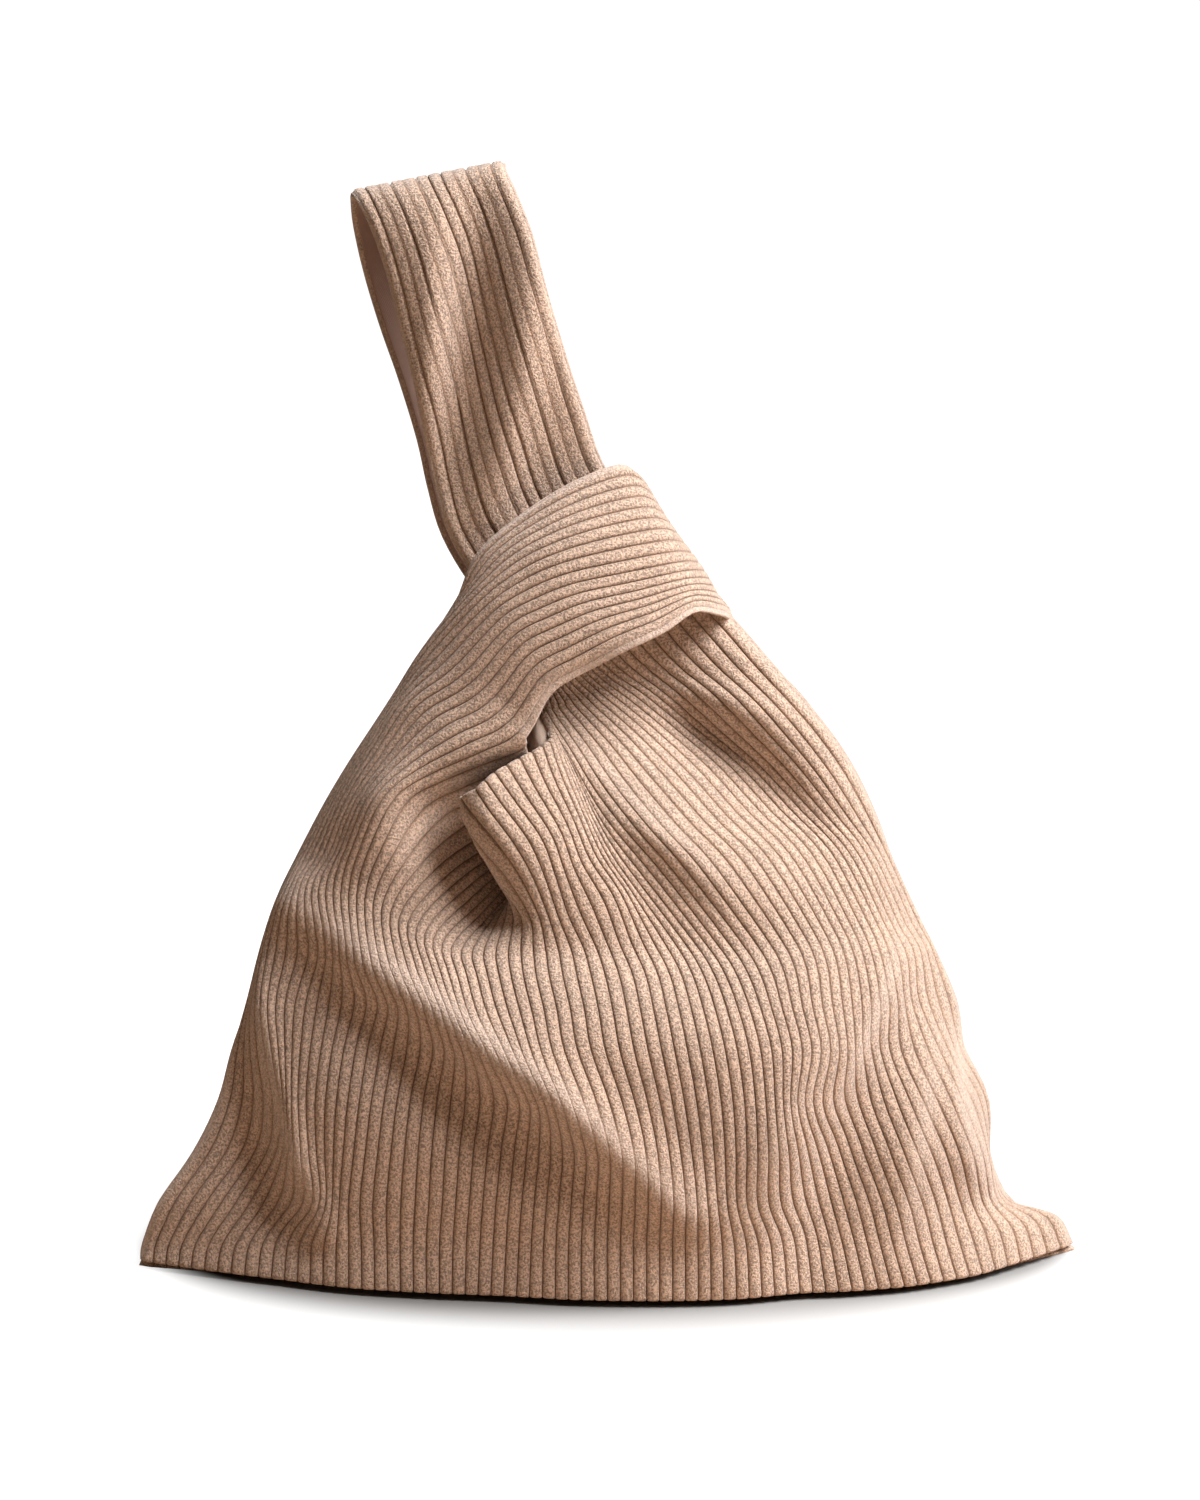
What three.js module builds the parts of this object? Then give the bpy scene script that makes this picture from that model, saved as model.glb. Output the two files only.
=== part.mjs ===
import * as THREE from "three";

// Driving sizes, in millimetres unless the name says otherwise
const WALES = 72;
const CLOTH_THICKNESS = 1.5;
const WALE_HEIGHT = 1.1;
const LINING_THICKNESS = 1.0;
const SIDE_SEAM_GAP = 1.3;
const HANDLE_SEAM_GAP = 0.4;
const LEFT_STRIP_WALES = 16.5;
const RIGHT_STRIP_FIRST_WALE = 50;
const HANDLE_WALES = 12;
const HEM_HEIGHT = 3.2;
const LEFT_BEND = 1.6;
const RIGHT_BEND = 3.5;
const BACK_FULLNESS = 0.92;
const BACK_BOW = 14;
const FAR_DROP_FROM = 60;
const FAR_DROP_TO = 200;
const BAND_MIDDLE_DEPTH = 4;
const SEAM_FADE_WALES = 4;
const ROW_STEP = 12.5;
const BACK_ROW_STEP = 15;
const BAND_ROW_STEP = 12;
const HANDLE_ROW_STEP = 16;

// The tables hold places as they appear from the front, looking a little down:
// across and up on the picture plane, and back for the depth behind it.
const VIEW_DISTANCE = 2000;
const VIEW_TILT = THREE.MathUtils.degToRad(14);
const VIEW_UP_CENTRE = 205;
const VIEW_HEIGHT = 195.8;

// Outer panels: where named wales cross each level of the body, from the hem up. `hemShare` is how
// far a level's depth follows the hem's; `left`, `front` and `right` are its own depths.
const BODY_WALES = [0, 5, 10, 16, 22, 28, 34, 42, 50, 57, 64, 68, 72];
const LEVEL_WALES = [0, 16, 28, 38, 50, 64, 72];
const BODY_LEVELS = [
  { name: "hem", hemShare: 1, left: -18, front: -64, right: -1,
    up: [15, 5, 2, 0, 2, 9, 21],
    across: [-172, -148, -123, -94, -65, -36, -7, 32, 70, 104, 138, 157, 177] },
  { name: "above hem", hemShare: 0.8, left: -20, front: -72, right: 2,
    up: [21, 21, 21, 21, 21, 22, 31],
    across: [-171, -146, -121, -94, -65, -35, -7, 32, 68, 100, 134, 154, 171] },
  { name: "ears", hemShare: 0.55, left: -28, front: -77, right: 4,
    up: [36, 36, 36, 36, 36, 36, 36],
    across: [-165, -136, -111, -94, -64, -34, -6, 32, 63, 96, 130, 146, 153] },
  { name: "belly", hemShare: 0.4, left: -28, front: -80, right: -9,
    up: [55, 55, 55, 55, 55, 55, 52],
    across: [-152, -124, -112, -92, -63, -32, -5, 30, 63, 89, 124, 143, 146] },
  { name: "above belly", hemShare: 0.3, left: -26, front: -80, right: -12,
    up: [74, 74, 74, 74, 74, 74, 74],
    across: [-143, -122, -113, -90, -61, -30, -10, 27, 62, 83, 116, 136, 146] },
  { name: "low waist", hemShare: 0.2, left: -22, front: -77, right: -10,
    up: [93, 93, 93, 93, 93, 93, 93],
    across: [-138, -125, -112, -87, -58, -38, -18, 23, 60, 86, 108, 127, 137] },
  { name: "waist", hemShare: 0.1, left: -20, front: -70, right: -6,
    up: [111, 111, 108, 108, 108, 111, 111],
    across: [-132, -127, -110, -83, -62, -46, -21, 20, 56, 83, 108, 119, 134] },
  { name: "high waist", hemShare: 0, left: -18, front: -62, right: -2,
    up: [130, 130, 121, 121, 121, 128, 130],
    across: [-127, -124, -105, -89, -69, -50, -24, 17, 51, 81, 105, 117, 126] },
  { name: "below shoulder", hemShare: 0, left: -17, front: -55, right: 3,
    up: [148, 151, 130, 132, 132, 140, 140],
    across: [-121, -119, -108, -91, -72, -52, -25, 12, 44, 76, 100, 111, 121] },
];

// Outer panels: sections over the shoulders and through the pleat, as wale, across, up, back
const SHOULDER_SECTIONS = [
  { name: "pleat foot", stations: [
    [0, -113, 165, -16], [5, -111, 165, -22], [10, -101, 166, -31], [16, -85, 172, -41],
    [22, -58, 158, -37], [28, -43, 141, -40], [32, -32, 143, -46], [34, -26, 143, -53],
    [38, -12, 144, -54], [42, 5, 150, -52], [46.5, 15, 152, -50], [50, 22, 161, -48],
    [57, 59, 162, -44], [64, 87, 164, -30], [68, 100, 164, -19], [72, 110, 164, 3]] },
  { name: "low pleat", stations: [
    [0, -102, 186, -16], [5, -100, 186, -22], [10, -93, 186, -31], [16.5, -74, 188, -41],
    [22, -40, 168, -24], [28.5, -26, 156, -24], [31, -32, 155, -33], [33, -38, 156, -45],
    [34.5, -32, 158, -55], [38, -17, 159, -55], [42.5, -3, 165, -51], [46.5, 5, 166, -49],
    [50, 9, 176, -46], [57, 43, 178, -41], [64, 71, 180, -30], [68, 88, 180, -22], [72, 104, 180, -2]] },
  { name: "middle of pleat", stations: [
    [0, -91, 204, -16], [5, -88, 206, -22], [10, -80, 206, -31], [16.5, -60, 196, -41],
    [22, -29, 174, -20], [26.5, -14, 163, -18], [30, -29, 163, -28], [33.5, -45, 168, -47],
    [35, -38, 170, -56], [38, -22, 172, -55], [42.5, -9, 179, -49], [46.5, -3, 180, -45],
    [50, -1, 189, -40], [57, 29, 193, -37], [64, 57, 195, -29], [68, 76, 196, -24], [72, 96, 197, -5]] },
  { name: "high pleat", stations: [
    [0, -78, 223, -16], [5, -76, 225, -22], [10, -68, 222, -33], [16.5, -43, 203, -42],
    [21, -22, 187, -20], [25, -8, 173, -15], [29.5, -30, 174, -26], [34, -50, 178, -47],
    [35.5, -44, 182, -54], [38, -32, 186, -52], [42.5, -16, 195, -44], [46.5, -10, 196, -39],
    [50, -11, 205, -34], [57, 15, 207, -32], [64, 42, 208, -26], [68, 64, 210, -24], [72, 87, 211, -10]] },
  { name: "neckline", stations: [
    [0, -66, 241, -20], [5, -64, 243, -25], [10, -52, 233, -36], [16.5, -29, 210, -43],
    [20, -16, 198, -23], [24, -4, 184, -20], [29, -29, 184, -28], [34.5, -52, 186, -45],
    [36, -46, 190, -51], [38, -39, 196, -49], [42.5, -20, 207, -38], [46.5, -18, 212, -32],
    [50, -20, 219, -26], [57, 0, 221, -26], [64, 27, 222, -23], [68, 52, 223, -22], [72, 77, 223, -12]] },
];

// Short handle: the left shoulder's strip carried up over the front to the right-hand turn
const BAND_SECTIONS = [
  { name: "side opening", stations: [
    [0, -54, 261, -22], [5, -46, 263, -31], [10, -34, 252, -39], [16.5, -18, 227, -45]] },
  { name: "rising", stations: [
    [0, -46, 279, -23], [5, -32, 275, -33], [10, -21, 259, -40], [16.5, -4, 235, -46]] },
  { name: "crossing", stations: [
    [0, -30, 293, -23], [5, -19, 282, -34], [10, -8, 264, -40], [16.5, 10, 243, -45]] },
  { name: "past crossing", stations: [
    [0, -11, 305, -22], [5, -2, 288, -32], [10, 11, 268, -37], [16.5, 24, 250, -41]] },
  { name: "before turn", stations: [
    [0, 8, 312, -16], [5, 18, 292, -25], [10, 30, 272, -30], [16.5, 36, 258, -33]] },
  { name: "turn", stations: [
    [0, 15, 307, -8], [5, 25, 290, -14], [10, 38, 272, -16], [16.5, 46, 257, -14]] },
  { name: "turn end", stations: [
    [0, 15, 305, 4], [5, 26, 288, 4], [10, 38, 270, 4], [16.5, 50, 255, 4]] },
];

// Long handle: the right shoulder's strip under the short handle
const UNDER_BAND_SECTIONS = [
  { name: "band edge", stations: [
    [50, -22, 226, -20], [57, -8, 229, -21], [64, 15, 232, -17], [72, 64, 238, -12]] },
  { name: "under band", stations: [
    [50, -26, 234, -15], [57, -15, 239, -17], [64, 4, 244, -14], [72, 52, 252, -7]] },
  { name: "gathering", stations: [
    [50, -33, 246, -12], [57, -21, 252, -15], [64, -4, 260, -14], [72, 38, 266, -6]] },
];

// Long handle: the loop itself, up the front, over the top and down the back
const LOOP_SECTIONS = [
  { name: "front root", left: [-40, 258], right: [15, 289], back: -11 },
  { name: "front low", left: [-47, 270], right: [5, 305], back: -11 },
  { name: "front 1", left: [-56, 286], right: [-1, 316], back: -11 },
  { name: "front 2", left: [-61, 303], right: [-6, 331], back: -12 },
  { name: "front 3", left: [-65, 321], right: [-11, 346], back: -13 },
  { name: "front 4", left: [-70, 344], right: [-16, 363], back: -14 },
  { name: "front 5", left: [-75, 364], right: [-21, 381], back: -14 },
  { name: "front 6", left: [-80, 384], right: [-26, 399], back: -13 },
  { name: "front 7", left: [-86, 402], right: [-32, 414], back: -10 },
  { name: "front 8", left: [-91, 412], right: [-36, 423], back: -5 },
  { name: "top", left: [-93, 414], right: [-36, 425], back: 1 },
  { name: "back 8", left: [-93, 412], right: [-37, 422], back: 7 },
  { name: "back 7", left: [-92, 402], right: [-37, 411], back: 12 },
  { name: "back 6", left: [-88, 384], right: [-33, 396], back: 15 },
  { name: "back 5", left: [-82, 364], right: [-28, 378], back: 16 },
  { name: "back 4", left: [-75, 344], right: [-23, 357], back: 16 },
  { name: "back 3", left: [-68, 321], right: [-18, 338], back: 15 },
  { name: "back 2", left: [-64, 303], right: [-13, 321], back: 14 },
  { name: "back 1", left: [-59, 286], right: [-8, 306], back: 14 },
  { name: "back low", left: [-50, 270], right: [0, 298], back: 14 },
  { name: "back root", left: [-40, 258], right: [15, 286], back: 15 },
];
const LOOP_TOP = 10;
const LINING_FIRST = 1;
const LINING_LAST = 19;
const LINING_WALES = [0.5, 2, 3, 4, 5, 6, 7, 8, 9, 10, 11.5];
const LINING_GAP = 1.5;

// Base of the back panel: rows from the front hem to where it turns up, as shares of the way
const EARS_LEVEL = 2;
const EAR_SHARE = 0.07;
const BASE_BACK_DEPTH = 46;
const BASE_FLAT_ROW = 2;
const BASE_ROWS = [
  { name: "front edge", depth: 0, height: 0, climb: 0 },
  { name: "middle", depth: 0.5, height: 0, climb: 0.25 },
  { name: "back edge", depth: 0.97, height: 0, climb: 0.5 },
  { name: "turn up", depth: 1.08, height: 9, climb: 0.75 },
];

// Facing inside the neckline: its two free places at each row, and the wale whose edge it is sewn to
const FACING_GAP = 1;
const FACING_TURN_IN = 1;
const FACING_ROWS = [
  { name: "low end", wale: 44.5, inside: [-30, 204, -6], middle: [-27, 204, -13] },
  { name: "low", wale: 45.5, inside: [-30, 210, -8], middle: [-27, 210, -18] },
  { name: "high", wale: 48, inside: [-29, 217, -7], middle: [-27, 217, -16] },
  { name: "high end", wale: 50, inside: [-28, 223, -5], middle: [-26, 223, -12] },
];

// Soft folds: the places on each one's path, how far the cloth stands out there and how wide it is
const FRONT_FOLDS = [
  { name: "left ear crease", path: [[-131, 117], [-118, 60], [-104, 25]], out: 7, width: 7 },
  { name: "left ear hollow", path: [[-139, 80], [-130, 48], [-118, 20]], out: -6, width: 12 },
  { name: "main crease", path: [[-114, 145], [-62, 115], [-15, 84], [33, 38]], out: 11, width: 11 },
  { name: "hollow under main crease", path: [[-108, 124], [-58, 90], [0, 50]], out: -8, width: 16 },
  { name: "right ridge", path: [[84, 96], [64, 60], [48, 18]], out: 3, width: 12 },
  { name: "right hollow", path: [[106, 104], [89, 60], [76, 14]], out: -8, width: 13 },
  { name: "right front ridge", path: [[126, 90], [119, 52], [114, 14]], out: 5, width: 11 },
  { name: "side ridge", path: [[111, 126], [104, 108], [88, 74]], out: 5, width: 9 },
  { name: "corner crease", path: [[134, 89], [136, 66], [144, 36]], out: 6, width: 8 },
  { name: "shoulder trough", path: [[0, 217], [26, 204], [56, 183], [84, 161]], out: -18, width: 16 },
  { name: "shoulder edge", path: [[46, 254], [68, 238], [88, 212], [105, 180]], out: 8, width: 11 },
  { name: "shoulder crest", path: [[-20, 212], [20, 178], [52, 152]], out: 4, width: 9 },
  { name: "neck hollow", path: [[-8, 208], [10, 175], [28, 140], [38, 122]], out: -3, width: 13 },
  { name: "knee", path: [[-80, 200], [-72, 165], [-60, 140]], out: 2, width: 12 },
];
const BACK_FOLDS = [
  { name: "back sweep", path: [[-90, 150], [-20, 100], [60, 60]], out: 6, width: 14 },
  { name: "back hollow", path: [[-70, 120], [-10, 75], [50, 35]], out: -5, width: 16 },
  { name: "back shoulder fold", path: [[100, 180], [70, 130], [60, 90]], out: 4, width: 12 },
];
const HANDLE_FOLDS = [
  { name: "handle left edge", path: [[-84, 398], [-78, 345], [-72, 300]], out: -5, width: 10 },
  { name: "handle left crest", path: [[-60, 398], [-61, 345], [-62, 320]], out: 2.5, width: 6 },
  { name: "handle trough", path: [[-44, 402], [-48, 350], [-58, 300]], out: -7.5, width: 9 },
  { name: "handle right crest", path: [[-23, 395], [-28, 342], [-41, 292]], out: 5, width: 9 },
];

/** World place of a point seen at (across, up) on the picture plane and lying `back` behind it. */
function seen(across, up, back) {
  const slope = (up - VIEW_UP_CENTRE) / VIEW_DISTANCE;
  const cosine = Math.cos(VIEW_TILT);
  const sine = Math.sin(VIEW_TILT);
  const rise = (slope * VIEW_DISTANCE + back * (slope * cosine - sine)) / (cosine + slope * sine);
  const depth = VIEW_DISTANCE + back * cosine - rise * sine;
  return new THREE.Vector3((across / VIEW_DISTANCE) * depth, back, VIEW_HEIGHT + rise);
}

/** Depth at which a point seen at `up` stands at the given height above the floor. */
function depthAtHeight(up, height) {
  const slope = (up - VIEW_UP_CENTRE) / VIEW_DISTANCE;
  const cosine = Math.cos(VIEW_TILT);
  const sine = Math.sin(VIEW_TILT);
  const rise = height - VIEW_HEIGHT;
  return (rise * (cosine + slope * sine) - slope * VIEW_DISTANCE) / (slope * cosine - sine);
}

/** Smooth curve through values at rising knots. */
function curve(knots, values, at) {
  const last = knots.length - 1;
  let k = 0;
  while (k < last - 1 && at > knots[k + 1]) k += 1;
  const slopeAt = (i) => {
    const lo = Math.max(i - 1, 0);
    const hi = Math.min(i + 1, last);
    return (values[hi] - values[lo]) / (knots[hi] - knots[lo]);
  };
  const span = knots[k + 1] - knots[k];
  const t = (at - knots[k]) / span;
  const t2 = t * t;
  const t3 = t2 * t;
  return (2 * t3 - 3 * t2 + 1) * values[k] + (t3 - 2 * t2 + t) * span * slopeAt(k)
    + (3 * t2 - 2 * t3) * values[k + 1] + (t3 - t2) * span * slopeAt(k + 1);
}

/** Distance from a place to a path of three places, with how far along it the nearest part lies. */
function fromPath(across, up, path) {
  let best = { distance: Infinity, along: 0 };
  for (let k = 0; k < path.length - 1; k += 1) {
    const [x0, y0] = path[k];
    const [x1, y1] = path[k + 1];
    const run = (x1 - x0) ** 2 + (y1 - y0) ** 2;
    const t = ((across - x0) * (x1 - x0) + (up - y0) * (y1 - y0)) / run;
    const part = Math.min(Math.max(t, 0), 1);
    const distance = Math.hypot(across - x0 - part * (x1 - x0), up - y0 - part * (y1 - y0));
    if (distance < best.distance) best = { distance, along: (k + part) / (path.length - 1) };
  }
  return best;
}

/** How far the folds push the cloth out at a place; each fold is deepest at its middle. */
function foldOut(across, up, folds) {
  let out = 0;
  for (const fold of folds) {
    const near = fromPath(across, up, fold.path);
    const fade = 0.45 + 0.55 * Math.sin(Math.PI * near.along);
    out += fold.out * fade * Math.exp(-((near.distance / fold.width) ** 2));
  }
  return out;
}

/** Depth of a body level at a wale: it bends back into each side seam, and near the hem, where the
 *  cloth stands as a wedge, it does so nearly straight. */
function levelDepth(level, wale) {
  const t = wale / WALES;
  const seamDepth = t < 0.5 ? level.left : level.right;
  const power = (t < 0.5 ? LEFT_BEND : RIGHT_BEND) - level.hemShare * (t < 0.5 ? 0.5 : 1);
  return seamDepth + (level.front - seamDepth) * (1 - Math.abs(2 * t - 1) ** power);
}

/** A section is a list of stations, each a wale and its place in the frame. */
function bodySection(level) {
  return BODY_WALES.map((wale, k) => {
    const up = curve(LEVEL_WALES, level.up, wale);
    const hemDepth = depthAtHeight(curve(LEVEL_WALES, BODY_LEVELS[0].up, wale), HEM_HEIGHT);
    const back = THREE.MathUtils.lerp(levelDepth(level, wale), hemDepth, level.hemShare);
    return { wale, place: seen(level.across[k], up, back) };
  });
}

function tableSection(row) {
  return row.stations.map(([wale, across, up, back]) => ({ wale, place: seen(across, up, back) }));
}

function loopSection(row) {
  return [0, 4, 8, HANDLE_WALES].map((wale) => {
    const t = wale / HANDLE_WALES;
    const across = row.left[0] + t * (row.right[0] - row.left[0]);
    const up = row.left[1] + t * (row.right[1] - row.left[1]);
    return { wale, place: seen(across, up, row.back) };
  });
}

/** Place of any wale on a section. */
function placeOn(section, wale) {
  const wales = section.map((s) => s.wale);
  const part = (axis) => curve(wales, section.map((s) => s.place[axis]), wale);
  return new THREE.Vector3(part("x"), part("y"), part("z"));
}

/** A smooth sheet through sections: `wale` runs across it and `run` along it, in millimetres. */
class Drape {
  constructor(sections, folds, foldWay, fade) {
    this.sections = sections;
    this.folds = folds;
    this.foldWay = foldWay;
    this.fade = fade;
    this.kept = new Map();
    this.first = sections[0][0].wale;
    this.last = sections[0].at(-1).wale;
    this.knots = [0];
    const samples = evenWales(this.first, this.last, (this.last - this.first) / 6);
    for (let k = 1; k < sections.length; k += 1) {
      const steps = samples.map((wale) => this.ribPlaces(wale)[k].distanceTo(this.ribPlaces(wale)[k - 1]));
      const mean = steps.reduce((sum, step) => sum + step, 0) / steps.length;
      this.knots.push(this.knots[k - 1] + Math.max(mean, 1));
    }
  }

  /** Places of one wale on all the sections. */
  ribPlaces(wale) {
    if (!this.kept.has(wale)) {
      this.kept.set(wale, this.sections.map((section) => placeOn(section, wale)));
    }
    return this.kept.get(wale);
  }

  at(wale, run) {
    const places = this.ribPlaces(wale);
    const part = (axis) => curve(this.knots, places.map((p) => p[axis]), run);
    const place = new THREE.Vector3(part("x"), part("y"), part("z"));
    place.y += this.foldWay * this.fade(wale, place) * foldOut(place.x, place.z, this.folds);
    return place;
  }

  normal(wale, run) {
    const waleStep = 0.25;
    const runStep = 1.0;
    const top = this.knots.at(-1);
    const across = this.at(Math.min(wale + waleStep, this.last), run)
      .sub(this.at(Math.max(wale - waleStep, this.first), run));
    const along = this.at(wale, Math.min(run + runStep, top)).sub(this.at(wale, Math.max(run - runStep, 0)));
    return across.cross(along).normalize();
  }
}

/** Runs between two sections of a drape, about `step` apart and with the sections kept. */
function runsBetween(drape, from, to, step) {
  const runs = [drape.knots[from]];
  for (let k = from; k < to; k += 1) {
    const length = drape.knots[k + 1] - drape.knots[k];
    const parts = Math.max(1, Math.round(length / step));
    for (let p = 1; p <= parts; p += 1) runs.push(drape.knots[k] + (length * p) / parts);
  }
  return runs;
}

function evenWales(first, last, step) {
  const count = Math.round((last - first) / step);
  return Array.from({ length: count + 1 }, (unused, k) => first + ((last - first) * k) / count);
}

const SAME = 1e-9;

/** Thick cloth built of rows of outer and inner points that are laced together. */
class Sheet {
  constructor(mirrored) {
    this.points = [];
    this.faces = [];
    this.mirrored = mirrored;
  }

  /** Adds a row of points; `t` is how far across the row each one lies. */
  row(wales, placeAt) {
    return wales.map((wale) => {
      this.points.push(placeAt(wale));
      return { index: this.points.length - 1, wale, t: (wale - wales[0]) / (wales.at(-1) - wales[0]) };
    });
  }

  /** Fills the strip between two rows with triangles, however many points each has. */
  lace(a, b, flip = false) {
    let i = 0;
    let j = 0;
    while (i < a.length - 1 || j < b.length - 1) {
      const stepA = j === b.length - 1 || (i < a.length - 1 && a[i + 1].t <= b[j + 1].t + SAME);
      const third = stepA ? a[i + 1] : b[j + 1];
      const face = [a[i].index, third.index, b[j].index];
      if (stepA) i += 1;
      else j += 1;
      if (flip !== this.mirrored) face.reverse();
      this.faces.push(face);
    }
  }

  lacePatch(patch) {
    for (let r = 0; r < patch.outer.length - 1; r += 1) {
      this.lace(patch.outer[r], patch.outer[r + 1]);
      this.lace(patch.inner[r], patch.inner[r + 1], true);
    }
  }

  /** Closes an edge between outer and inner points; `near` is true for left sides and tops. */
  rim(outer, inner, near) {
    const count = (list) => list.map((p, k) => ({ index: p.index, t: p.t ?? k / (list.length - 1) }));
    if (near) this.lace(count(outer), count(inner));
    else this.lace(count(inner), count(outer));
  }

  side(patch, end, near) {
    const pick = (rows) => rows.map((row) => ({ index: row.at(end).index }));
    this.rim(pick(patch.outer), pick(patch.inner), near);
  }

  mesh(name, material) {
    const geometry = new THREE.BufferGeometry();
    const flat = this.points.flatMap((p) => [p.x, p.y, p.z]);
    geometry.setAttribute("position", new THREE.Float32BufferAttribute(flat, 3));
    geometry.setIndex(this.faces.flat());
    geometry.computeVertexNormals();
    const mesh = new THREE.Mesh(geometry, material);
    mesh.name = name;
    return mesh;
  }
}

/** Outer and inner places of ribbed cloth: the drape is its outline, the wales stand out of it. */
function clothPlaces(drape, run, far, adjust = (place) => place) {
  const turned = far ? -1 : 1;
  const base = (wale) => {
    const normal = drape.normal(wale, run).multiplyScalar(turned);
    const outline = drape.at(wale, run);
    outline.y += normal.y * CLOTH_THICKNESS;
    return { outline, normal };
  };
  return {
    outer: (wale) => {
      const { outline, normal } = base(wale);
      const crest = Math.round(wale * 2) % 2 === 1;
      return adjust(outline.addScaledVector(normal, crest ? WALE_HEIGHT : 0), wale, "outer");
    },
    inner: (wale) => {
      const { outline, normal } = base(wale);
      return adjust(outline.addScaledVector(normal, -CLOTH_THICKNESS), wale, "inner");
    },
  };
}

/** Rows of a drape's cloth at the given runs; `outerWalesAt` names the outer points of a run. */
function patchRows(sheet, drape, runs, outerWalesAt, innerWales, options) {
  const patch = { outer: [], inner: [] };
  for (const run of runs) {
    const places = clothPlaces(drape, run, options.far, options.adjust?.(run));
    patch.outer.push(sheet.row(outerWalesAt(run), places.outer));
    patch.inner.push(sheet.row(innerWales, places.inner));
  }
  return patch;
}

/** The part of a row that lies between two wales, with its own even measure. */
function cut(row, first, last) {
  return row.filter((p) => p.wale >= first && p.wale <= last)
    .map((p) => ({ ...p, t: (p.wale - first) / (last - first) }));
}

/** Depth of the same place on the far side of the bag. */
function farPlace(place, seamDepth, fullness = BACK_FULLNESS) {
  const back = seamDepth + (seamDepth - place.y) * fullness;
  const slope = -Math.tan(VIEW_TILT);
  const drop = THREE.MathUtils.smoothstep(place.z, FAR_DROP_FROM, FAR_DROP_TO);
  return new THREE.Vector3(place.x, back, place.z + drop * slope * (back - place.y));
}

function farSection(section) {
  const left = section[0];
  const right = section.at(-1);
  return section.map((s) => {
    const t = (s.wale - left.wale) / (right.wale - left.wale);
    const line = left.place.y + t * (right.place.y - left.place.y) + BACK_BOW * 2 * t * (1 - t);
    return { wale: s.wale, place: farPlace(s.place, line) };
  });
}

function farStripSection(section) {
  return section.map((s) => ({ wale: s.wale, place: farPlace(s.place, BAND_MIDDLE_DEPTH, 1) }));
}

/** Sections of the base: flat on the floor, and climbing the side seams at both ears. */
function baseSection(row, hem, ears) {
  return hem.map((s, k) => {
    const t = s.wale / WALES;
    const seamPlace = ears[t < 0.5 ? 0 : ears.length - 1].place;
    const tip = hem[t < 0.5 ? 0 : hem.length - 1].place;
    const roundness = 1 - Math.abs(2 * t - 1) ** 2.5;
    const farDepth = tip.y + (BASE_BACK_DEPTH - tip.y) * roundness;
    const flat = new THREE.Vector3(s.place.x, s.place.y + (farDepth - s.place.y) * row.depth, row.height);
    const climb = tip.clone().setZ(0).lerp(seamPlace, row.climb);
    const inside = THREE.MathUtils.smoothstep(Math.min(t, 1 - t), 0, EAR_SHARE);
    return { wale: s.wale, place: climb.lerp(flat, inside) };
  });
}

/** Sections of a half's body with one more beyond the neckline, which the two strips carry on. */
function withBeyond(body, band, under) {
  const neckline = body.at(-1);
  const before = body.at(-2);
  const beyond = neckline.map(({ wale, place }) => {
    if (wale <= LEFT_STRIP_WALES) return { wale, place: placeOn(band, wale) };
    if (wale >= RIGHT_STRIP_FIRST_WALE) return { wale, place: placeOn(under, wale) };
    return { wale, place: place.clone().lerp(placeOn(before, wale), -0.6) };
  });
  return [...body, beyond];
}

const nearBody = [...BODY_LEVELS.map(bodySection), ...SHOULDER_SECTIONS.map(tableSection)];
const firstEars = nearBody[EARS_LEVEL];
const farBody = [
  ...BASE_ROWS.map((row) => baseSection(row, nearBody[0], firstEars)),
  ...nearBody.slice(EARS_LEVEL).map(farSection),
];
const leftPart = (section) => section.filter((s) => s.wale <= LEFT_STRIP_WALES);
const rightPart = (section) => section.filter((s) => s.wale >= RIGHT_STRIP_FIRST_WALE);
const bandRows = BAND_SECTIONS.map(tableSection);
const underRows = UNDER_BAND_SECTIONS.map(tableSection);

/** The folds of a panel fade out at its side seams, and the handle's folds are on its front layer. */
const seamFade = (wale) => THREE.MathUtils.smoothstep(Math.min(wale, WALES - wale), 0, SEAM_FADE_WALES);
const frontLayerOnly = (wale, place) => (place.y < 0 ? 1 : 0);

/** The three drapes of one outer panel: its body and its halves of the short and long handles. */
function panelDrapes(body, band, under, folds, foldWay, rowStep) {
  const drape = (sections) => new Drape(sections, folds, foldWay, seamFade);
  return {
    body: drape(withBeyond(body, band[0], under[0])),
    band: drape([...body.slice(-2).map(leftPart), ...band]),
    under: drape([...body.slice(-2).map(rightPart), ...under]),
    neckline: body.length - 1,
    rowStep,
  };
}

const front = panelDrapes(nearBody, bandRows, underRows, FRONT_FOLDS, -1, ROW_STEP);
const back = panelDrapes(farBody, bandRows.map(farStripSection), underRows.map(farStripSection),
  BACK_FOLDS, 1, BACK_ROW_STEP);
const loop = new Drape(LOOP_SECTIONS.map(loopSection), HANDLE_FOLDS, -1, frontLayerOnly);
const loopTop = loop.knots[LOOP_TOP];

const OUTER_WALES = evenWales(0, WALES, 0.5);
const INNER_WALES = [0, 3, 6, 9, 12, 14, 16.5, 18.5, 20.5, 22, 23.5, 25, 26.5, 28, 29.5, 31, 32.5, 33.5, 34.5,
  35.5, 37, 39, 42, 45, 47.5, 50, 54, 58, 62, 65, 68, 70, 72];
const BASE_WALES = evenWales(0, WALES, 2);
const between = (wales, first, last) => wales.filter((wale) => wale >= first && wale <= last);

const tan = new THREE.MeshStandardMaterial({ color: 0xc8a88c, roughness: 0.95 });
const taupe = new THREE.MeshStandardMaterial({ color: 0xa08273, roughness: 0.8 });

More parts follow.
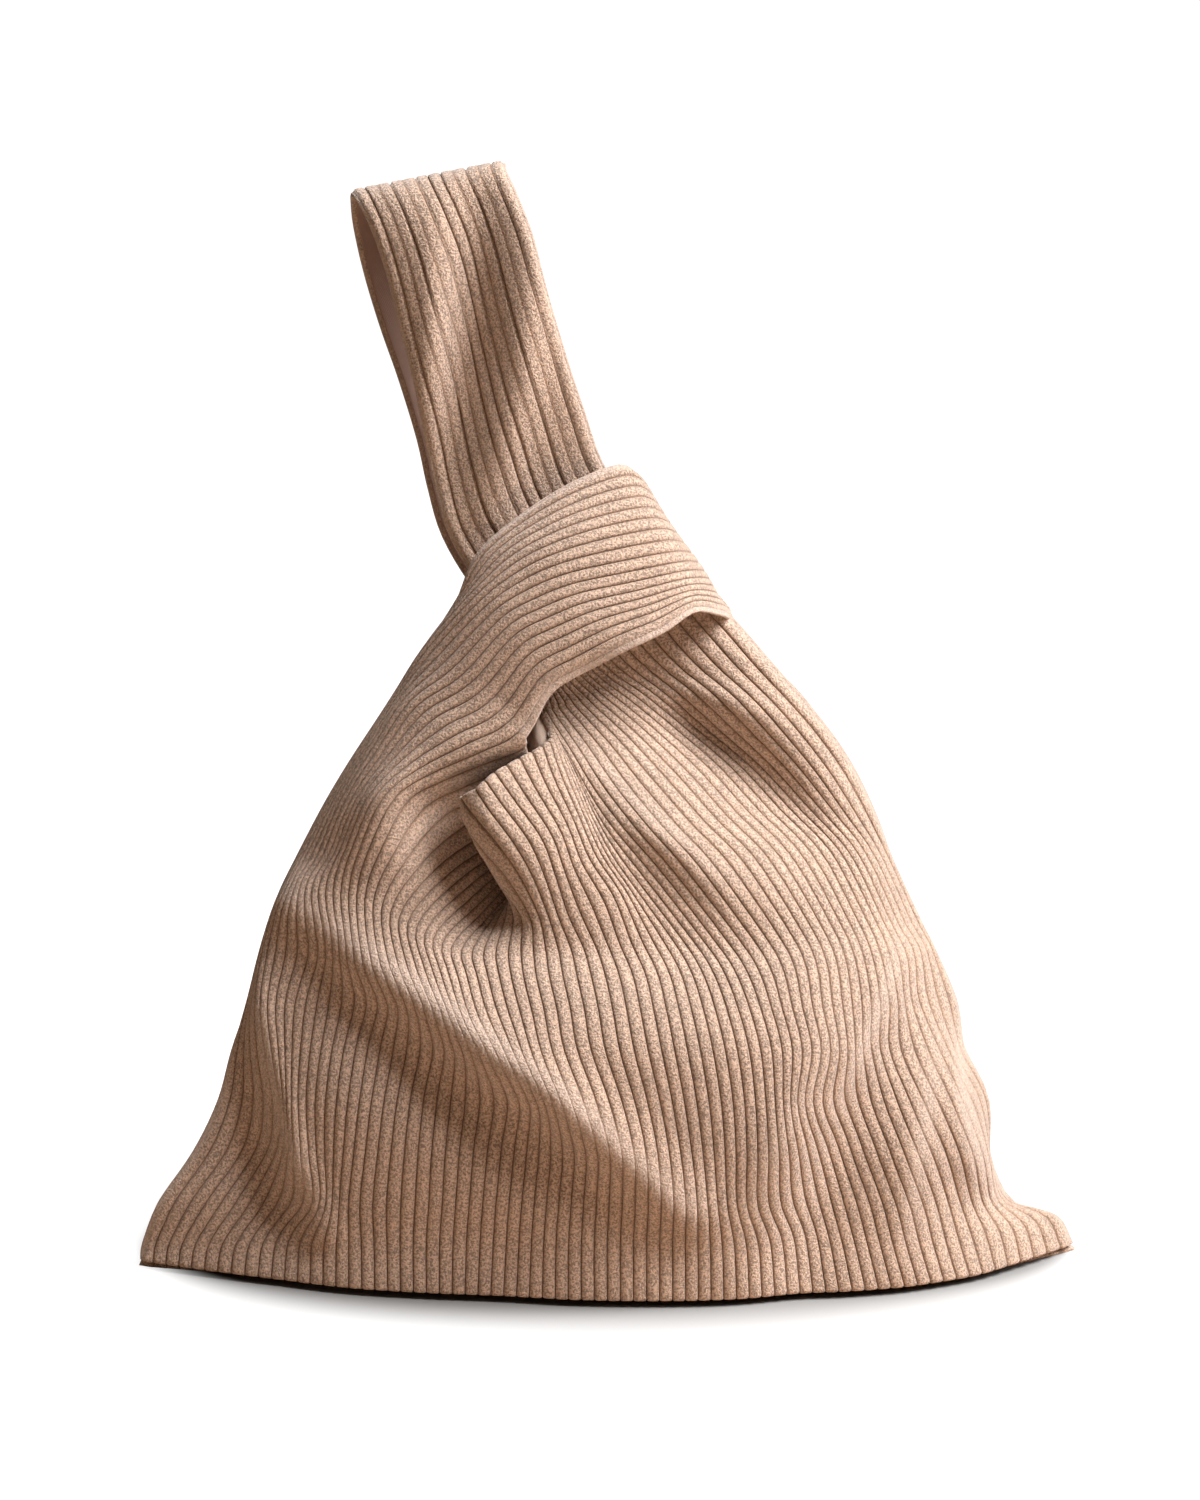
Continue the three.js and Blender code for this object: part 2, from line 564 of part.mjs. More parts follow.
/** One outer panel with its halves of both handles, from its hem to the two handle seams. */
function outerPanel(name, half, far) {
  const sheet = new Sheet(far);
  const side = far ? 1 : -1;
  const sideGap = (side * SIDE_SEAM_GAP) / 2;
  const handleGap = (side * HANDLE_SEAM_GAP) / 2;
  const { body: drape, band: bandDrape, under: underDrape } = half;

  const bodyRuns = runsBetween(drape, 0, half.neckline, half.rowStep);
  const bodyWales = (run) => (far && run <= drape.knots[BASE_FLAT_ROW] ? BASE_WALES : OUTER_WALES);
  const body = patchRows(sheet, drape, bodyRuns, bodyWales, INNER_WALES, {
    far,
    adjust: (run) => (p, wale, face) => {
      const floor = face === "inner" ? CLOTH_THICKNESS : 0;
      if (run === 0) p.z = far ? floor : HEM_HEIGHT;
      if (far) p.z = Math.max(p.z, floor);
      if (wale === 0 || wale === WALES) p.y += sideGap;
      return p;
    },
  });
  const top = body.outer.length - 1;
  sheet.lacePatch(body);

  const bandRuns = runsBetween(bandDrape, 1, bandDrape.knots.length - 1, BAND_ROW_STEP).slice(1);
  const bandEnd = bandRuns.at(-1);
  const bandWales = between(OUTER_WALES, 0, LEFT_STRIP_WALES);
  const band = patchRows(sheet, bandDrape, bandRuns, () => bandWales,
    between(INNER_WALES, 0, LEFT_STRIP_WALES), {
      far,
      adjust: (run) => (p) => {
        if (run === bandEnd) p.y = BAND_MIDDLE_DEPTH + handleGap;
        return p;
      },
    });
  band.outer.unshift(cut(body.outer[top], 0, LEFT_STRIP_WALES));
  band.inner.unshift(cut(body.inner[top], 0, LEFT_STRIP_WALES));
  sheet.lacePatch(band);

  const underRuns = runsBetween(underDrape, 1, underDrape.knots.length - 1, BAND_ROW_STEP).slice(1);
  const underWales = between(OUTER_WALES, RIGHT_STRIP_FIRST_WALE, WALES);
  const under = patchRows(sheet, underDrape, underRuns, () => underWales,
    between(INNER_WALES, RIGHT_STRIP_FIRST_WALE, WALES), { far });
  under.outer.unshift(cut(body.outer[top], RIGHT_STRIP_FIRST_WALE, WALES));
  under.inner.unshift(cut(body.inner[top], RIGHT_STRIP_FIRST_WALE, WALES));

  const handleRuns = far
    ? runsBetween(loop, LOOP_TOP, LOOP_SECTIONS.length - 1, HANDLE_ROW_STEP).reverse()
    : runsBetween(loop, 0, LOOP_TOP, HANDLE_ROW_STEP);
  const handleWales = evenWales(0, HANDLE_WALES, 0.5);
  const handle = patchRows(sheet, loop, handleRuns, () => handleWales, evenWales(0, HANDLE_WALES, 1), {
    far: false,
    adjust: (run) => (p) => {
      if (run === loopTop) p.y = LOOP_SECTIONS[LOOP_TOP].back + handleGap;
      return p;
    },
  });
  under.outer.push(...handle.outer);
  under.inner.push(...handle.inner);
  sheet.lacePatch(under);

  sheet.rim(body.outer[0], body.inner[0], false);
  sheet.side(body, 0, true);
  sheet.side(body, -1, false);
  sheet.side(band, 0, true);
  sheet.side(band, -1, false);
  sheet.rim(band.outer.at(-1), band.inner.at(-1), true);
  sheet.rim(cut(body.outer[top], LEFT_STRIP_WALES, RIGHT_STRIP_FIRST_WALE),
    cut(body.inner[top], LEFT_STRIP_WALES, RIGHT_STRIP_FIRST_WALE), true);
  sheet.side(under, 0, true);
  sheet.side(under, -1, false);
  sheet.rim(under.outer.at(-1), under.inner.at(-1), true);
  return sheet.mesh(name, tan);
}

/** Place at a depth behind a drape's inner face. */
function behindCloth(drape, wale, run, depth) {
  const normal = drape.normal(wale, run);
  const place = drape.at(wale, run);
  place.y += normal.y * CLOTH_THICKNESS;
  return place.addScaledVector(normal, -CLOTH_THICKNESS - depth);
}

/** Smooth lining on the inner face of the long handle's loop. */
function handleLining() {
  const sheet = new Sheet(false);
  const runs = runsBetween(loop, LINING_FIRST, LINING_LAST, HANDLE_ROW_STEP);
  const patch = { outer: [], inner: [] };
  const level = (run, depth) => (wale) => behindCloth(loop, wale, run, depth);
  for (const run of runs) {
    patch.outer.push(sheet.row(LINING_WALES, level(run, LINING_GAP)));
    patch.inner.push(sheet.row(LINING_WALES, level(run, LINING_GAP + LINING_THICKNESS)));
  }
  sheet.lacePatch(patch);
  sheet.rim(patch.outer[0], patch.inner[0], false);
  sheet.side(patch, 0, true);
  sheet.side(patch, -1, false);
  sheet.rim(patch.outer.at(-1), patch.inner.at(-1), true);
  return sheet.mesh("handle_lining", taupe);
}

/** Smooth facing that shows inside the neckline, beside the gap under the short handle. */
function neckFacing() {
  const sheet = new Sheet(false);
  const edgeRun = front.body.knots[front.neckline];
  const sections = FACING_ROWS.map((row) => [
    { wale: 0, place: seen(...row.inside) },
    { wale: 1, place: seen(...row.middle) },
    { wale: 2, place: behindCloth(front.body, row.wale, edgeRun - FACING_TURN_IN, FACING_GAP) },
  ]);
  const drape = new Drape(sections, [], -1, seamFade);
  const runs = runsBetween(drape, 0, sections.length - 1, 5);
  const wales = evenWales(0, 2, 0.5);
  const patch = { outer: [], inner: [] };
  const through = drape.normal(1, drape.knots.at(-1) / 2).multiplyScalar(-LINING_THICKNESS);
  const level = (run, share) => (wale) => drape.at(wale, run).addScaledVector(through, share);
  for (const run of runs) {
    patch.outer.push(sheet.row(wales, level(run, 0)));
    patch.inner.push(sheet.row(wales, level(run, 1)));
  }
  sheet.lacePatch(patch);
  sheet.rim(patch.outer[0], patch.inner[0], false);
  sheet.side(patch, 0, true);
  sheet.side(patch, -1, false);
  sheet.rim(patch.outer.at(-1), patch.inner.at(-1), true);
  return sheet.mesh("neckline_facing", taupe);
}

const bag = new THREE.Group();
bag.add(outerPanel("front_panel", front, false));
bag.add(outerPanel("back_panel", back, true));
bag.add(handleLining());
bag.add(neckFacing());

// The bag stands with the middle of its footprint at the origin
const box = new THREE.Box3().setFromObject(bag);
const middle = box.getCenter(new THREE.Vector3());
bag.position.set(-middle.x, -middle.y, -box.min.z);

const group = new THREE.Group();
group.add(bag);

export default group;
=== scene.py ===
"""Knot bag in wide-wale corduroy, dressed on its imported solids."""
import math

import bpy
import numpy as np
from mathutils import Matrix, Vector


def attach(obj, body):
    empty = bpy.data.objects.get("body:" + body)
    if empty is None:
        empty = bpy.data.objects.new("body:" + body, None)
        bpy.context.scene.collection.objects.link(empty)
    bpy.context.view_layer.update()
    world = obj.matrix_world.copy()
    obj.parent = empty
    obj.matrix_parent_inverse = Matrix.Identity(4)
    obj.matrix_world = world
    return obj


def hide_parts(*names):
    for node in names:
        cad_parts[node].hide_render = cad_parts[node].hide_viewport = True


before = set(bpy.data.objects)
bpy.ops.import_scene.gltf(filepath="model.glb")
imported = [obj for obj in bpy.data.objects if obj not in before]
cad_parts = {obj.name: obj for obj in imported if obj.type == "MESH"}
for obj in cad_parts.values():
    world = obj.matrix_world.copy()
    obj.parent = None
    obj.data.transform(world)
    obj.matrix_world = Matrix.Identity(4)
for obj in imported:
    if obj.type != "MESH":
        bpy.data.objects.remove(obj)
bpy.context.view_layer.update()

# Camera: a long lens two metres from the bag, looking 14 degrees down at the middle of its front.
# The tables of the cloth hold places as this camera sees them, in millimetres. FOOT_MIDDLE is where
# the frame's origin lies in the tables' own measure.
MM = 0.001
VIEW_DISTANCE = 2000.0
VIEW_TILT = math.radians(14)
VIEW_UP_CENTRE = 205.0
VIEW_HEIGHT = 195.8
PICTURE_HEIGHT = 562.5
SENSOR = 36.0
FOOT_MIDDLE = np.array([3.389, -12.913, 0.0])

lens = bpy.data.cameras.new("camera")
lens.sensor_width = SENSOR
lens.lens = SENSOR * VIEW_DISTANCE / PICTURE_HEIGHT
camera = bpy.data.objects.new("camera", lens)
bpy.context.collection.objects.link(camera)
target = Vector((np.array([0, 0, VIEW_HEIGHT]) - FOOT_MIDDLE) * MM)
away = Vector((0, -math.cos(VIEW_TILT), math.sin(VIEW_TILT))) * VIEW_DISTANCE * MM
camera.location = target + away
camera.rotation_euler = (math.radians(90) - VIEW_TILT, 0, 0)
bpy.context.scene.camera = camera

# Front outer panel: one cut piece of wide-wale cotton corduroy that holds the pouch's front and the
# front halves of both handles. Its wales run up the pouch, and 16.5 of them turn into the short
# handle while the right-hand 22 gather into the long one. Its edges are turned in and sewn.
WALES = 72
WALE_PITCH = 4.8
CLOTH = 1.5
WALE_HEIGHT = 1.2
WALE_FLATNESS = 6
WALE_ROUNDNESS = 0.6
LEFT_STRIP_WALES = 16.5
RIGHT_STRIP_FIRST_WALE = 50
HANDLE_WALES = 12
HEM_HEIGHT = 4.0
LEFT_BEND = 1.6
LEFT_BEND_FALL = 0.5
RIGHT_BEND = 3.5
SEAM_HALF_GAP = 0.4
SEAM_FADE_WALES = 4
NECKLINE_CARRY = 0.6
# Over how many wales or rows the pile rises again: from seams and edges, from the short handle's
# lower edge, and from where the loop begins inside the knot
EDGE_SINK_WALES = 0.6
BAND_SINK_WALES = 1.3
KNOT_SINK_ROWS = 4
# The net: millimetres from row to row, the places across each wale, the steps round an open edge,
# and the least length that a normal is divided by
ROW_STEP = 4.0
WALE_SHARES = np.array([0, 0.05, 0.15, 0.5, 0.85, 0.95])
RIM_ANGLES = np.radians([30, 60, 90, 120, 150])
NO_LENGTH = 1e-9
# The bottom of the pleat is sunk deeper in the front panel, from the section PLEAT_LEVEL up
PLEAT_WALE = 25
PLEAT_HALF_WIDTH = 5
PLEAT_DEPTH = 11
PLEAT_LEVEL = 10
# Folds keep a share of their height at both ends. On their crests the wales sink and the cloth is
# painted paler, a painted highlight of the pile's sheen, set a little above each path towards the lit side
FOLD_END_SHARE = 0.45
CREST_WIDTH = 0.4
CREST_HEIGHT = 9.0
CREST_RISE = 3.5
CREST_MOST = 0.75

BODY_WALES = np.array([0, 5, 10, 16, 22, 28, 34, 42, 50, 57, 64, 68, 72])
LEVEL_WALES = [0, 16, 28, 38, 50, 64, 72]
# Levels of the body from the hem up: the share of the hem's depth, the depths at the left seam, in
# front and at the right seam, the heights at the level wales, and how far across each body wale is
BODY_LEVELS = [
    ("hem", 1, (-18, -64, -1), [15, 5, 2, 0, 2, 9, 21],
     [-172, -148, -123, -94, -65, -36, -7, 32, 70, 104, 138, 157, 177]),
    ("above hem", 0.8, (-20, -72, 2), [21, 21, 21, 21, 21, 22, 31],
     [-171, -146, -121, -94, -65, -35, -7, 32, 68, 100, 134, 154, 171]),
    ("ears", 0.55, (-28, -77, 4), [36, 36, 36, 36, 36, 36, 36],
     [-165, -136, -111, -94, -64, -34, -6, 32, 63, 96, 130, 146, 153]),
    ("belly", 0.4, (-28, -80, -9), [55, 55, 55, 55, 55, 55, 52],
     [-152, -124, -112, -92, -63, -32, -5, 30, 63, 89, 124, 143, 146]),
    ("above belly", 0.3, (-26, -80, -12), [74, 74, 74, 74, 74, 74, 74],
     [-143, -122, -113, -90, -61, -30, -10, 27, 62, 83, 116, 136, 146]),
    ("low waist", 0.2, (-22, -77, -10), [93, 93, 93, 93, 93, 93, 93],
     [-138, -125, -112, -87, -58, -38, -18, 23, 60, 86, 108, 127, 137]),
    ("waist", 0.1, (-20, -70, -6), [111, 111, 108, 108, 108, 111, 111],
     [-132, -127, -110, -83, -62, -46, -21, 20, 56, 83, 108, 119, 134]),
    ("high waist", 0, (-18, -62, -2), [130, 130, 121, 121, 121, 128, 130],
     [-127, -124, -105, -89, -69, -50, -24, 17, 51, 81, 105, 117, 126]),
    ("below shoulder", 0, (-17, -55, 3), [148, 151, 130, 132, 132, 140, 140],
     [-121, -119, -108, -91, -72, -52, -25, 12, 44, 76, 100, 111, 121]),
]
# Sections over the shoulders and through the pleat: wale, across, up, back
SHOULDER_SECTIONS = [
    ("pleat foot", [
        (0, -113, 165, -16), (5, -111, 165, -22), (10, -101, 166, -31), (16, -85, 172, -41),
        (22, -58, 158, -37), (28, -43, 141, -40), (32, -32, 143, -46), (34, -26, 143, -53),
        (38, -12, 144, -54), (42, 5, 150, -52), (46.5, 15, 152, -50), (50, 22, 161, -48),
        (57, 59, 162, -44), (64, 87, 164, -30), (68, 100, 164, -19), (72, 110, 164, 3)]),
    ("low pleat", [
        (0, -102, 186, -16), (5, -100, 186, -22), (10, -93, 186, -31), (16.5, -74, 188, -41),
        (22, -40, 168, -24), (28.5, -26, 156, -24), (31, -32, 155, -33), (33, -38, 156, -45),
        (34.5, -32, 158, -55), (38, -17, 159, -55), (42.5, -3, 165, -51), (46.5, 5, 166, -49),
        (50, 9, 176, -46), (57, 43, 178, -41), (64, 71, 180, -30), (68, 88, 180, -22),
        (72, 104, 180, -2)]),
    ("middle of pleat", [
        (0, -91, 204, -16), (5, -88, 206, -22), (10, -80, 206, -31), (16.5, -60, 196, -41),
        (22, -29, 174, -20), (26.5, -14, 163, -18), (30, -29, 163, -28), (33.5, -45, 168, -47),
        (35, -38, 170, -56), (38, -22, 172, -55), (42.5, -9, 179, -49), (46.5, -3, 180, -45),
        (50, -1, 189, -40), (57, 29, 193, -37), (64, 57, 195, -29), (68, 76, 196, -24),
        (72, 96, 197, -5)]),
    ("high pleat", [
        (0, -78, 223, -16), (5, -76, 225, -22), (10, -68, 222, -33), (16.5, -43, 203, -42),
        (21, -22, 187, -20), (25, -8, 173, -15), (29.5, -30, 174, -26), (34, -50, 178, -47),
        (35.5, -44, 182, -54), (38, -32, 186, -52), (42.5, -16, 195, -44), (46.5, -10, 196, -39),
        (50, -11, 205, -34), (57, 15, 207, -32), (64, 42, 208, -26), (68, 64, 210, -24),
        (72, 87, 211, -10)]),
    ("neckline", [
        (0, -66, 241, -20), (5, -64, 243, -25), (10, -52, 233, -36), (16.5, -29, 210, -43),
        (17.5, -28, 203, -37), (20, -16, 198, -23), (24, -4, 184, -20), (29, -29, 184, -28),
        (34.5, -52, 186, -45), (36, -46, 190, -51), (38, -39, 196, -49), (42.5, -20, 207, -38),
        (46.5, -18, 212, -32), (50, -20, 219, -26), (57, 0, 221, -26), (64, 27, 222, -23),
        (68, 52, 223, -22), (72, 77, 223, -12)]),
]
# The short handle's strip, from the side opening over the crossing to its right-hand turn
BAND_SECTIONS = [
    ("side opening", [(0, -54, 261, -22), (5, -46, 263, -31), (10, -34, 252, -39), (16.5, -18, 227, -45)]),
    ("rising", [(0, -46, 279, -23), (5, -32, 275, -33), (10, -21, 259, -40), (16.5, -4, 235, -46)]),
    ("crossing", [(0, -30, 293, -23), (5, -19, 282, -34), (10, -8, 264, -40), (16.5, 10, 243, -45)]),
    ("past crossing", [(0, -11, 305, -22), (5, -2, 288, -32), (10, 11, 268, -37), (16.5, 24, 250, -41)]),
    ("before turn", [(0, 8, 312, -16), (5, 18, 292, -25), (10, 30, 272, -30), (16.5, 36, 258, -33)]),
    ("turn", [(0, 15, 307, -8), (5, 25, 290, -14), (10, 38, 272, -16), (16.5, 46, 257, -14)]),
    ("turn end", [(0, 15, 305, 4), (5, 26, 288, 4), (10, 38, 270, 4), (16.5, 50, 255, 4)]),
]
# The long handle's strip under the short handle
UNDER_SECTIONS = [
    ("band edge", [(50, -22, 226, -20), (57, -8, 229, -21), (64, 15, 232, -17), (72, 64, 238, -12)]),
    ("under band", [(50, -26, 234, -15), (57, -15, 239, -17), (64, 4, 244, -14), (72, 52, 252, -7)]),
    ("gathering", [(50, -33, 246, -12), (57, -21, 252, -15), (64, -4, 260, -14), (72, 38, 266, -6)]),
]
# The long handle's loop, up the front, over the top and down the back: left edge, right edge, back
LOOP_SECTIONS = [
    ("front root", (-40, 258), (15, 289), -11),
    ("front low", (-47, 270), (5, 305), -11),
    ("front 1", (-56, 286), (-1, 316), -11),
    ("front 2", (-61, 303), (-6, 331), -12),
    ("front 3", (-65, 321), (-11, 346), -13),
    ("front 4", (-70, 344), (-16, 363), -14),
    ("front 5", (-75, 364), (-21, 381), -14),
    ("front 6", (-80, 384), (-26, 399), -13),
    ("front 7", (-86, 402), (-32, 414), -10),
    ("front 8", (-91, 412), (-36, 423), -5),
    ("top", (-93, 414), (-36, 425), 1),
    ("back 8", (-93, 412), (-37, 422), 7),
    ("back 7", (-92, 402), (-37, 411), 12),
    ("back 6", (-88, 384), (-33, 396), 15),
    ("back 5", (-82, 364), (-28, 378), 16),
    ("back 4", (-75, 344), (-23, 357), 16),
    ("back 3", (-68, 321), (-18, 338), 15),
    ("back 2", (-64, 303), (-13, 321), 14),
    ("back 1", (-59, 286), (-8, 306), 14),
    ("back low", (-50, 270), (0, 298), 14),
    ("back root", (-40, 258), (15, 286), 15),
]
# The row where the loop's front and back halves meet, and how many places a row has
LOOP_TOP = 10
LOOP_STATIONS = 4
# Soft folds: a path of places across and up, how far the cloth stands out there, and the fold's width
FRONT_FOLDS = [
    ("left ear crease", [(-131, 117), (-118, 60), (-104, 25)], 7, 7),
    ("left ear hollow", [(-139, 80), (-130, 48), (-118, 20)], -6, 12),
    ("main crease", [(-114, 145), (-62, 115), (-15, 84), (33, 38)], 11, 11),
    ("hollow under main crease", [(-98, 110), (-54, 84), (0, 48)], -7, 16),
    ("right ridge", [(84, 96), (64, 60), (48, 18)], 3, 12),
    ("right hollow", [(106, 104), (89, 60), (76, 14)], -8, 13),
    ("right front ridge", [(126, 90), (119, 52), (114, 14)], 5, 11),
    ("side ridge", [(111, 126), (104, 108), (88, 74)], 5, 9),
    ("corner crease", [(134, 89), (136, 66), (144, 36)], 6, 8),
    ("shoulder trough", [(2, 223), (28, 210), (57, 189), (85, 165)], -18, 16),
    ("shoulder edge", [(46, 254), (68, 238), (88, 212), (105, 180)], 8, 11),
    ("shoulder crest", [(-20, 212), (20, 178), (52, 152)], 4, 9),
    ("neck hollow", [(-8, 208), (10, 175), (28, 140), (38, 122)], -3, 13),
    ("knee", [(-80, 200), (-72, 165), (-60, 140)], 2, 12),
]
HANDLE_FOLDS = [
    ("handle left edge", [(-84, 398), (-78, 345), (-72, 300)], -5, 10),
    ("handle left crest", [(-60, 398), (-61, 345), (-62, 320)], 2.5, 6),
    ("handle trough", [(-44, 402), (-48, 350), (-58, 300)], -7.5, 9),
    ("handle right crest", [(-23, 395), (-28, 342), (-41, 292)], 5, 9),
]


def smooth(knots, values, at):
    """Curve through values at rising knots. Between two knots it is the cubic whose end slopes are
    those of the chords from each knot's left neighbour to its right one. Values may be arrays."""
    knots, values, at = (np.asarray(a, float) for a in (knots, values, at))
    lower = np.maximum(np.arange(len(knots)) - 1, 0)
    upper = np.minimum(np.arange(len(knots)) + 1, len(knots) - 1)
    shape = (-1,) + (1,) * (values.ndim - 1)
    slopes = (values[upper] - values[lower]) / (knots[upper] - knots[lower]).reshape(shape)
    k = np.clip(np.searchsorted(knots, at) - 1, 0, len(knots) - 2)
    span = (knots[k + 1] - knots[k]).reshape(shape)
    t = (at - knots[k]).reshape(shape) / span
    return ((2 * t**3 - 3 * t**2 + 1) * values[k] + (t**3 - 2 * t**2 + t) * span * slopes[k]
            + (3 * t**2 - 2 * t**3) * values[k + 1] + (t**3 - t**2) * span * slopes[k + 1])


def eased(x):
    """0 below 0, 1 above 1, and 3x^2 - 2x^3 between."""
    x = np.clip(x, 0, 1)
    return x * x * (3 - 2 * x)


def seen(across, up, back):
    """World place of what is seen at (across, up) on the picture plane and lies `back` behind it:
    the point where the camera's ray through the plane meets that depth."""
    slope = (up - VIEW_UP_CENTRE) / VIEW_DISTANCE
    cosine, sine = math.cos(VIEW_TILT), math.sin(VIEW_TILT)
    rise = (slope * VIEW_DISTANCE + back * (slope * cosine - sine)) / (cosine + slope * sine)
    depth = VIEW_DISTANCE + back * cosine - rise * sine
    return np.stack([across / VIEW_DISTANCE * depth, back + 0 * depth, VIEW_HEIGHT + rise], axis=-1)


def depth_at_height(up, height):
    """Depth at which a point seen at `up` stands at that height: `seen` solved for back."""
    slope = (up - VIEW_UP_CENTRE) / VIEW_DISTANCE
    cosine, sine = math.cos(VIEW_TILT), math.sin(VIEW_TILT)
    rise = height - VIEW_HEIGHT
    return (rise * (cosine + slope * sine) - slope * VIEW_DISTANCE) / (slope * cosine - sine)


def body_section(level):
    """Stations of a body level. Its depth bends back into each side seam as 1 - |2t - 1| to a power,
    which is low near the hem, where the cloth stands as a wedge. It follows the hem by its share."""
    _, share, (left, front, right), up, across = level
    t = BODY_WALES / WALES
    seam = np.where(t < 0.5, left, right)
    power = np.where(t < 0.5, LEFT_BEND - LEFT_BEND_FALL * share, RIGHT_BEND - share)
    own = seam + (front - seam) * (1 - np.abs(2 * t - 1) ** power)
    hem = depth_at_height(smooth(LEVEL_WALES, BODY_LEVELS[0][3], BODY_WALES), HEM_HEIGHT)
    back = own + (hem - own) * share
    return BODY_WALES, seen(np.array(across, float), smooth(LEVEL_WALES, up, BODY_WALES), back)


def table_section(row):
    """Stations of a table row of (wale, across, up, back)."""
    wale, across, up, back = np.array(row[1], float).T
    return wale, seen(across, up, back)


def loop_section(row):
    """Stations of a row of the loop: evenly from its left edge to its right one, at one depth."""
    _, left, right, back = row
    wale = np.linspace(0, HANDLE_WALES, LOOP_STATIONS)
    across, up = np.array(left)[:, None] + np.outer(np.subtract(right, left), wale / HANDLE_WALES)
    return wale, seen(across, up, np.full(LOOP_STATIONS, float(back)))


def deepened(section):
    """The same section with the bottom of the pleat sunk by PLEAT_DEPTH times exp(-(d/w)^2), d being
    how many wales off it is and w PLEAT_HALF_WIDTH."""
    wales, places = section
    bell = np.exp(-(((wales - PLEAT_WALE) / PLEAT_HALF_WIDTH) ** 2))
    return wales, places + np.outer(bell, [0, PLEAT_DEPTH, 0])


def part_of(section, first, last):
    """The stations of a section between two wales."""
    kept = (section[0] >= first) & (section[0] <= last)
    return section[0][kept], section[1][kept]


def from_path(x, z, path):
    """Distance of each place to the nearest of a path's straight pieces, and how far along the path,
    0 to 1, its nearest point lies. On each piece that is the foot of the perpendicular, or an end."""
    best = np.full_like(x, np.inf)
    along = np.zeros_like(x)
    for k, ((x0, z0), (x1, z1)) in enumerate(zip(path[:-1], path[1:])):
        t = ((x - x0) * (x1 - x0) + (z - z0) * (z1 - z0)) / ((x1 - x0) ** 2 + (z1 - z0) ** 2)
        t = np.clip(t, 0, 1)
        distance = np.hypot(x - x0 - t * (x1 - x0), z - z0 - t * (z1 - z0))
        along = np.where(distance < best, (k + t) / (len(path) - 1), along)
        best = np.minimum(distance, best)
    return best, along


def fold_out(x, z, folds, narrowed=1.0):
    """How far the folds push the cloth out: the sum of each fold's height times a bell of the distance
    to its path, exp(-(d/width)^2), which falls to FOLD_END_SHARE at the path's two ends."""
    out = np.zeros_like(x)
    for _, path, height, width in folds:
        distance, along = from_path(x, z, path)
        bell = np.exp(-((distance / (width * narrowed)) ** 2))
        out += height * (FOLD_END_SHARE + (1 - FOLD_END_SHARE) * np.sin(np.pi * along)) * bell
    return out


def crest_highlight_share(x, z, folds):
    """Share of painted highlight on the crests of folds, where the wales also sink, 0 to CREST_MOST: the
    narrowed bells of the folds that stand out, in parts of CREST_HEIGHT, CREST_RISE above their paths."""
    crests = [fold for fold in folds if fold[2] > 0]
    return np.minimum(fold_out(x, z - CREST_RISE, crests, CREST_WIDTH) / CREST_HEIGHT, CREST_MOST)


def measured(places, axis):
    """Length along one axis of a grid up to each of its lines: the sum of their mean distances."""
    steps = np.linalg.norm(np.diff(places, axis=axis), axis=2).mean(axis=1 - axis)
    return np.concatenate([[0], np.cumsum(steps)])


def laid(sections, wales, first, last, folds, way, fade):
    """Rows of cloth from the first to the last section, about ROW_STEP apart, and how far up each
    runs. Each wale follows a smooth curve through its places on all the sections, the knots being
    the sections' mean distances, and the folds push it out the given way where they don't fade."""
    ribs = np.array([smooth(*section, wales) for section in sections])
    knots = measured(ribs, 0)
    count = round((knots[last] - knots[first]) / ROW_STEP) + 1
    runs = np.linspace(knots[first], knots[last], count)
    places = smooth(knots, ribs, runs)
    places[..., 1] += way * fade(wales, places) * fold_out(places[..., 0], places[..., 2], folds)
    return places, runs - runs[0]


def seam_fade(wales, places):
    """Folds fade out over the last SEAM_FADE_WALES wales at both side seams."""
    return eased(np.minimum(wales, WALES - wales) / SEAM_FADE_WALES)


def front_layer(wales, places):
    """The loop's folds are on its front layer only: 1 in front of depth 0, and 0 behind it."""
    return np.where(places[..., 1] < 0, 1.0, 0.0)


def beyond(body, band, under):
    """One more section past the neckline: both strips' next sections and, between them, the
    neckline carried on by NECKLINE_CARRY of its last step."""
    wales, places = body[-1]
    carried = places + NECKLINE_CARRY * (places - smooth(*body[-2], wales))
    left, right = wales <= LEFT_STRIP_WALES, wales >= RIGHT_STRIP_FIRST_WALE
    carried[left] = smooth(*band, wales[left])
    carried[right] = smooth(*under, wales[right])
    return wales, carried


def wale_profile(wales):
    """Height of a wale across its width, f running from 0 to 1: 1 at the crest, and falling as
    (1 - |2f - 1|^WALE_FLATNESS)^WALE_ROUNDNESS to the narrow groove on each side."""
    f = np.mod(wales, 1)
    return (1 - np.abs(2 * f - 1) ** WALE_FLATNESS) ** WALE_ROUNDNESS


def normals_of(places, quads):
    """Mean of the quads' normals at each point; a quad's is the cross of its diagonals."""
    corner = places[quads]
    face = np.cross(corner[:, 2] - corner[:, 0], corner[:, 3] - corner[:, 1])
    total = np.zeros_like(places)
    for k in range(4):
        np.add.at(total, quads[:, k], face)
    return total / np.maximum(np.linalg.norm(total, axis=1, keepdims=True), NO_LENGTH)


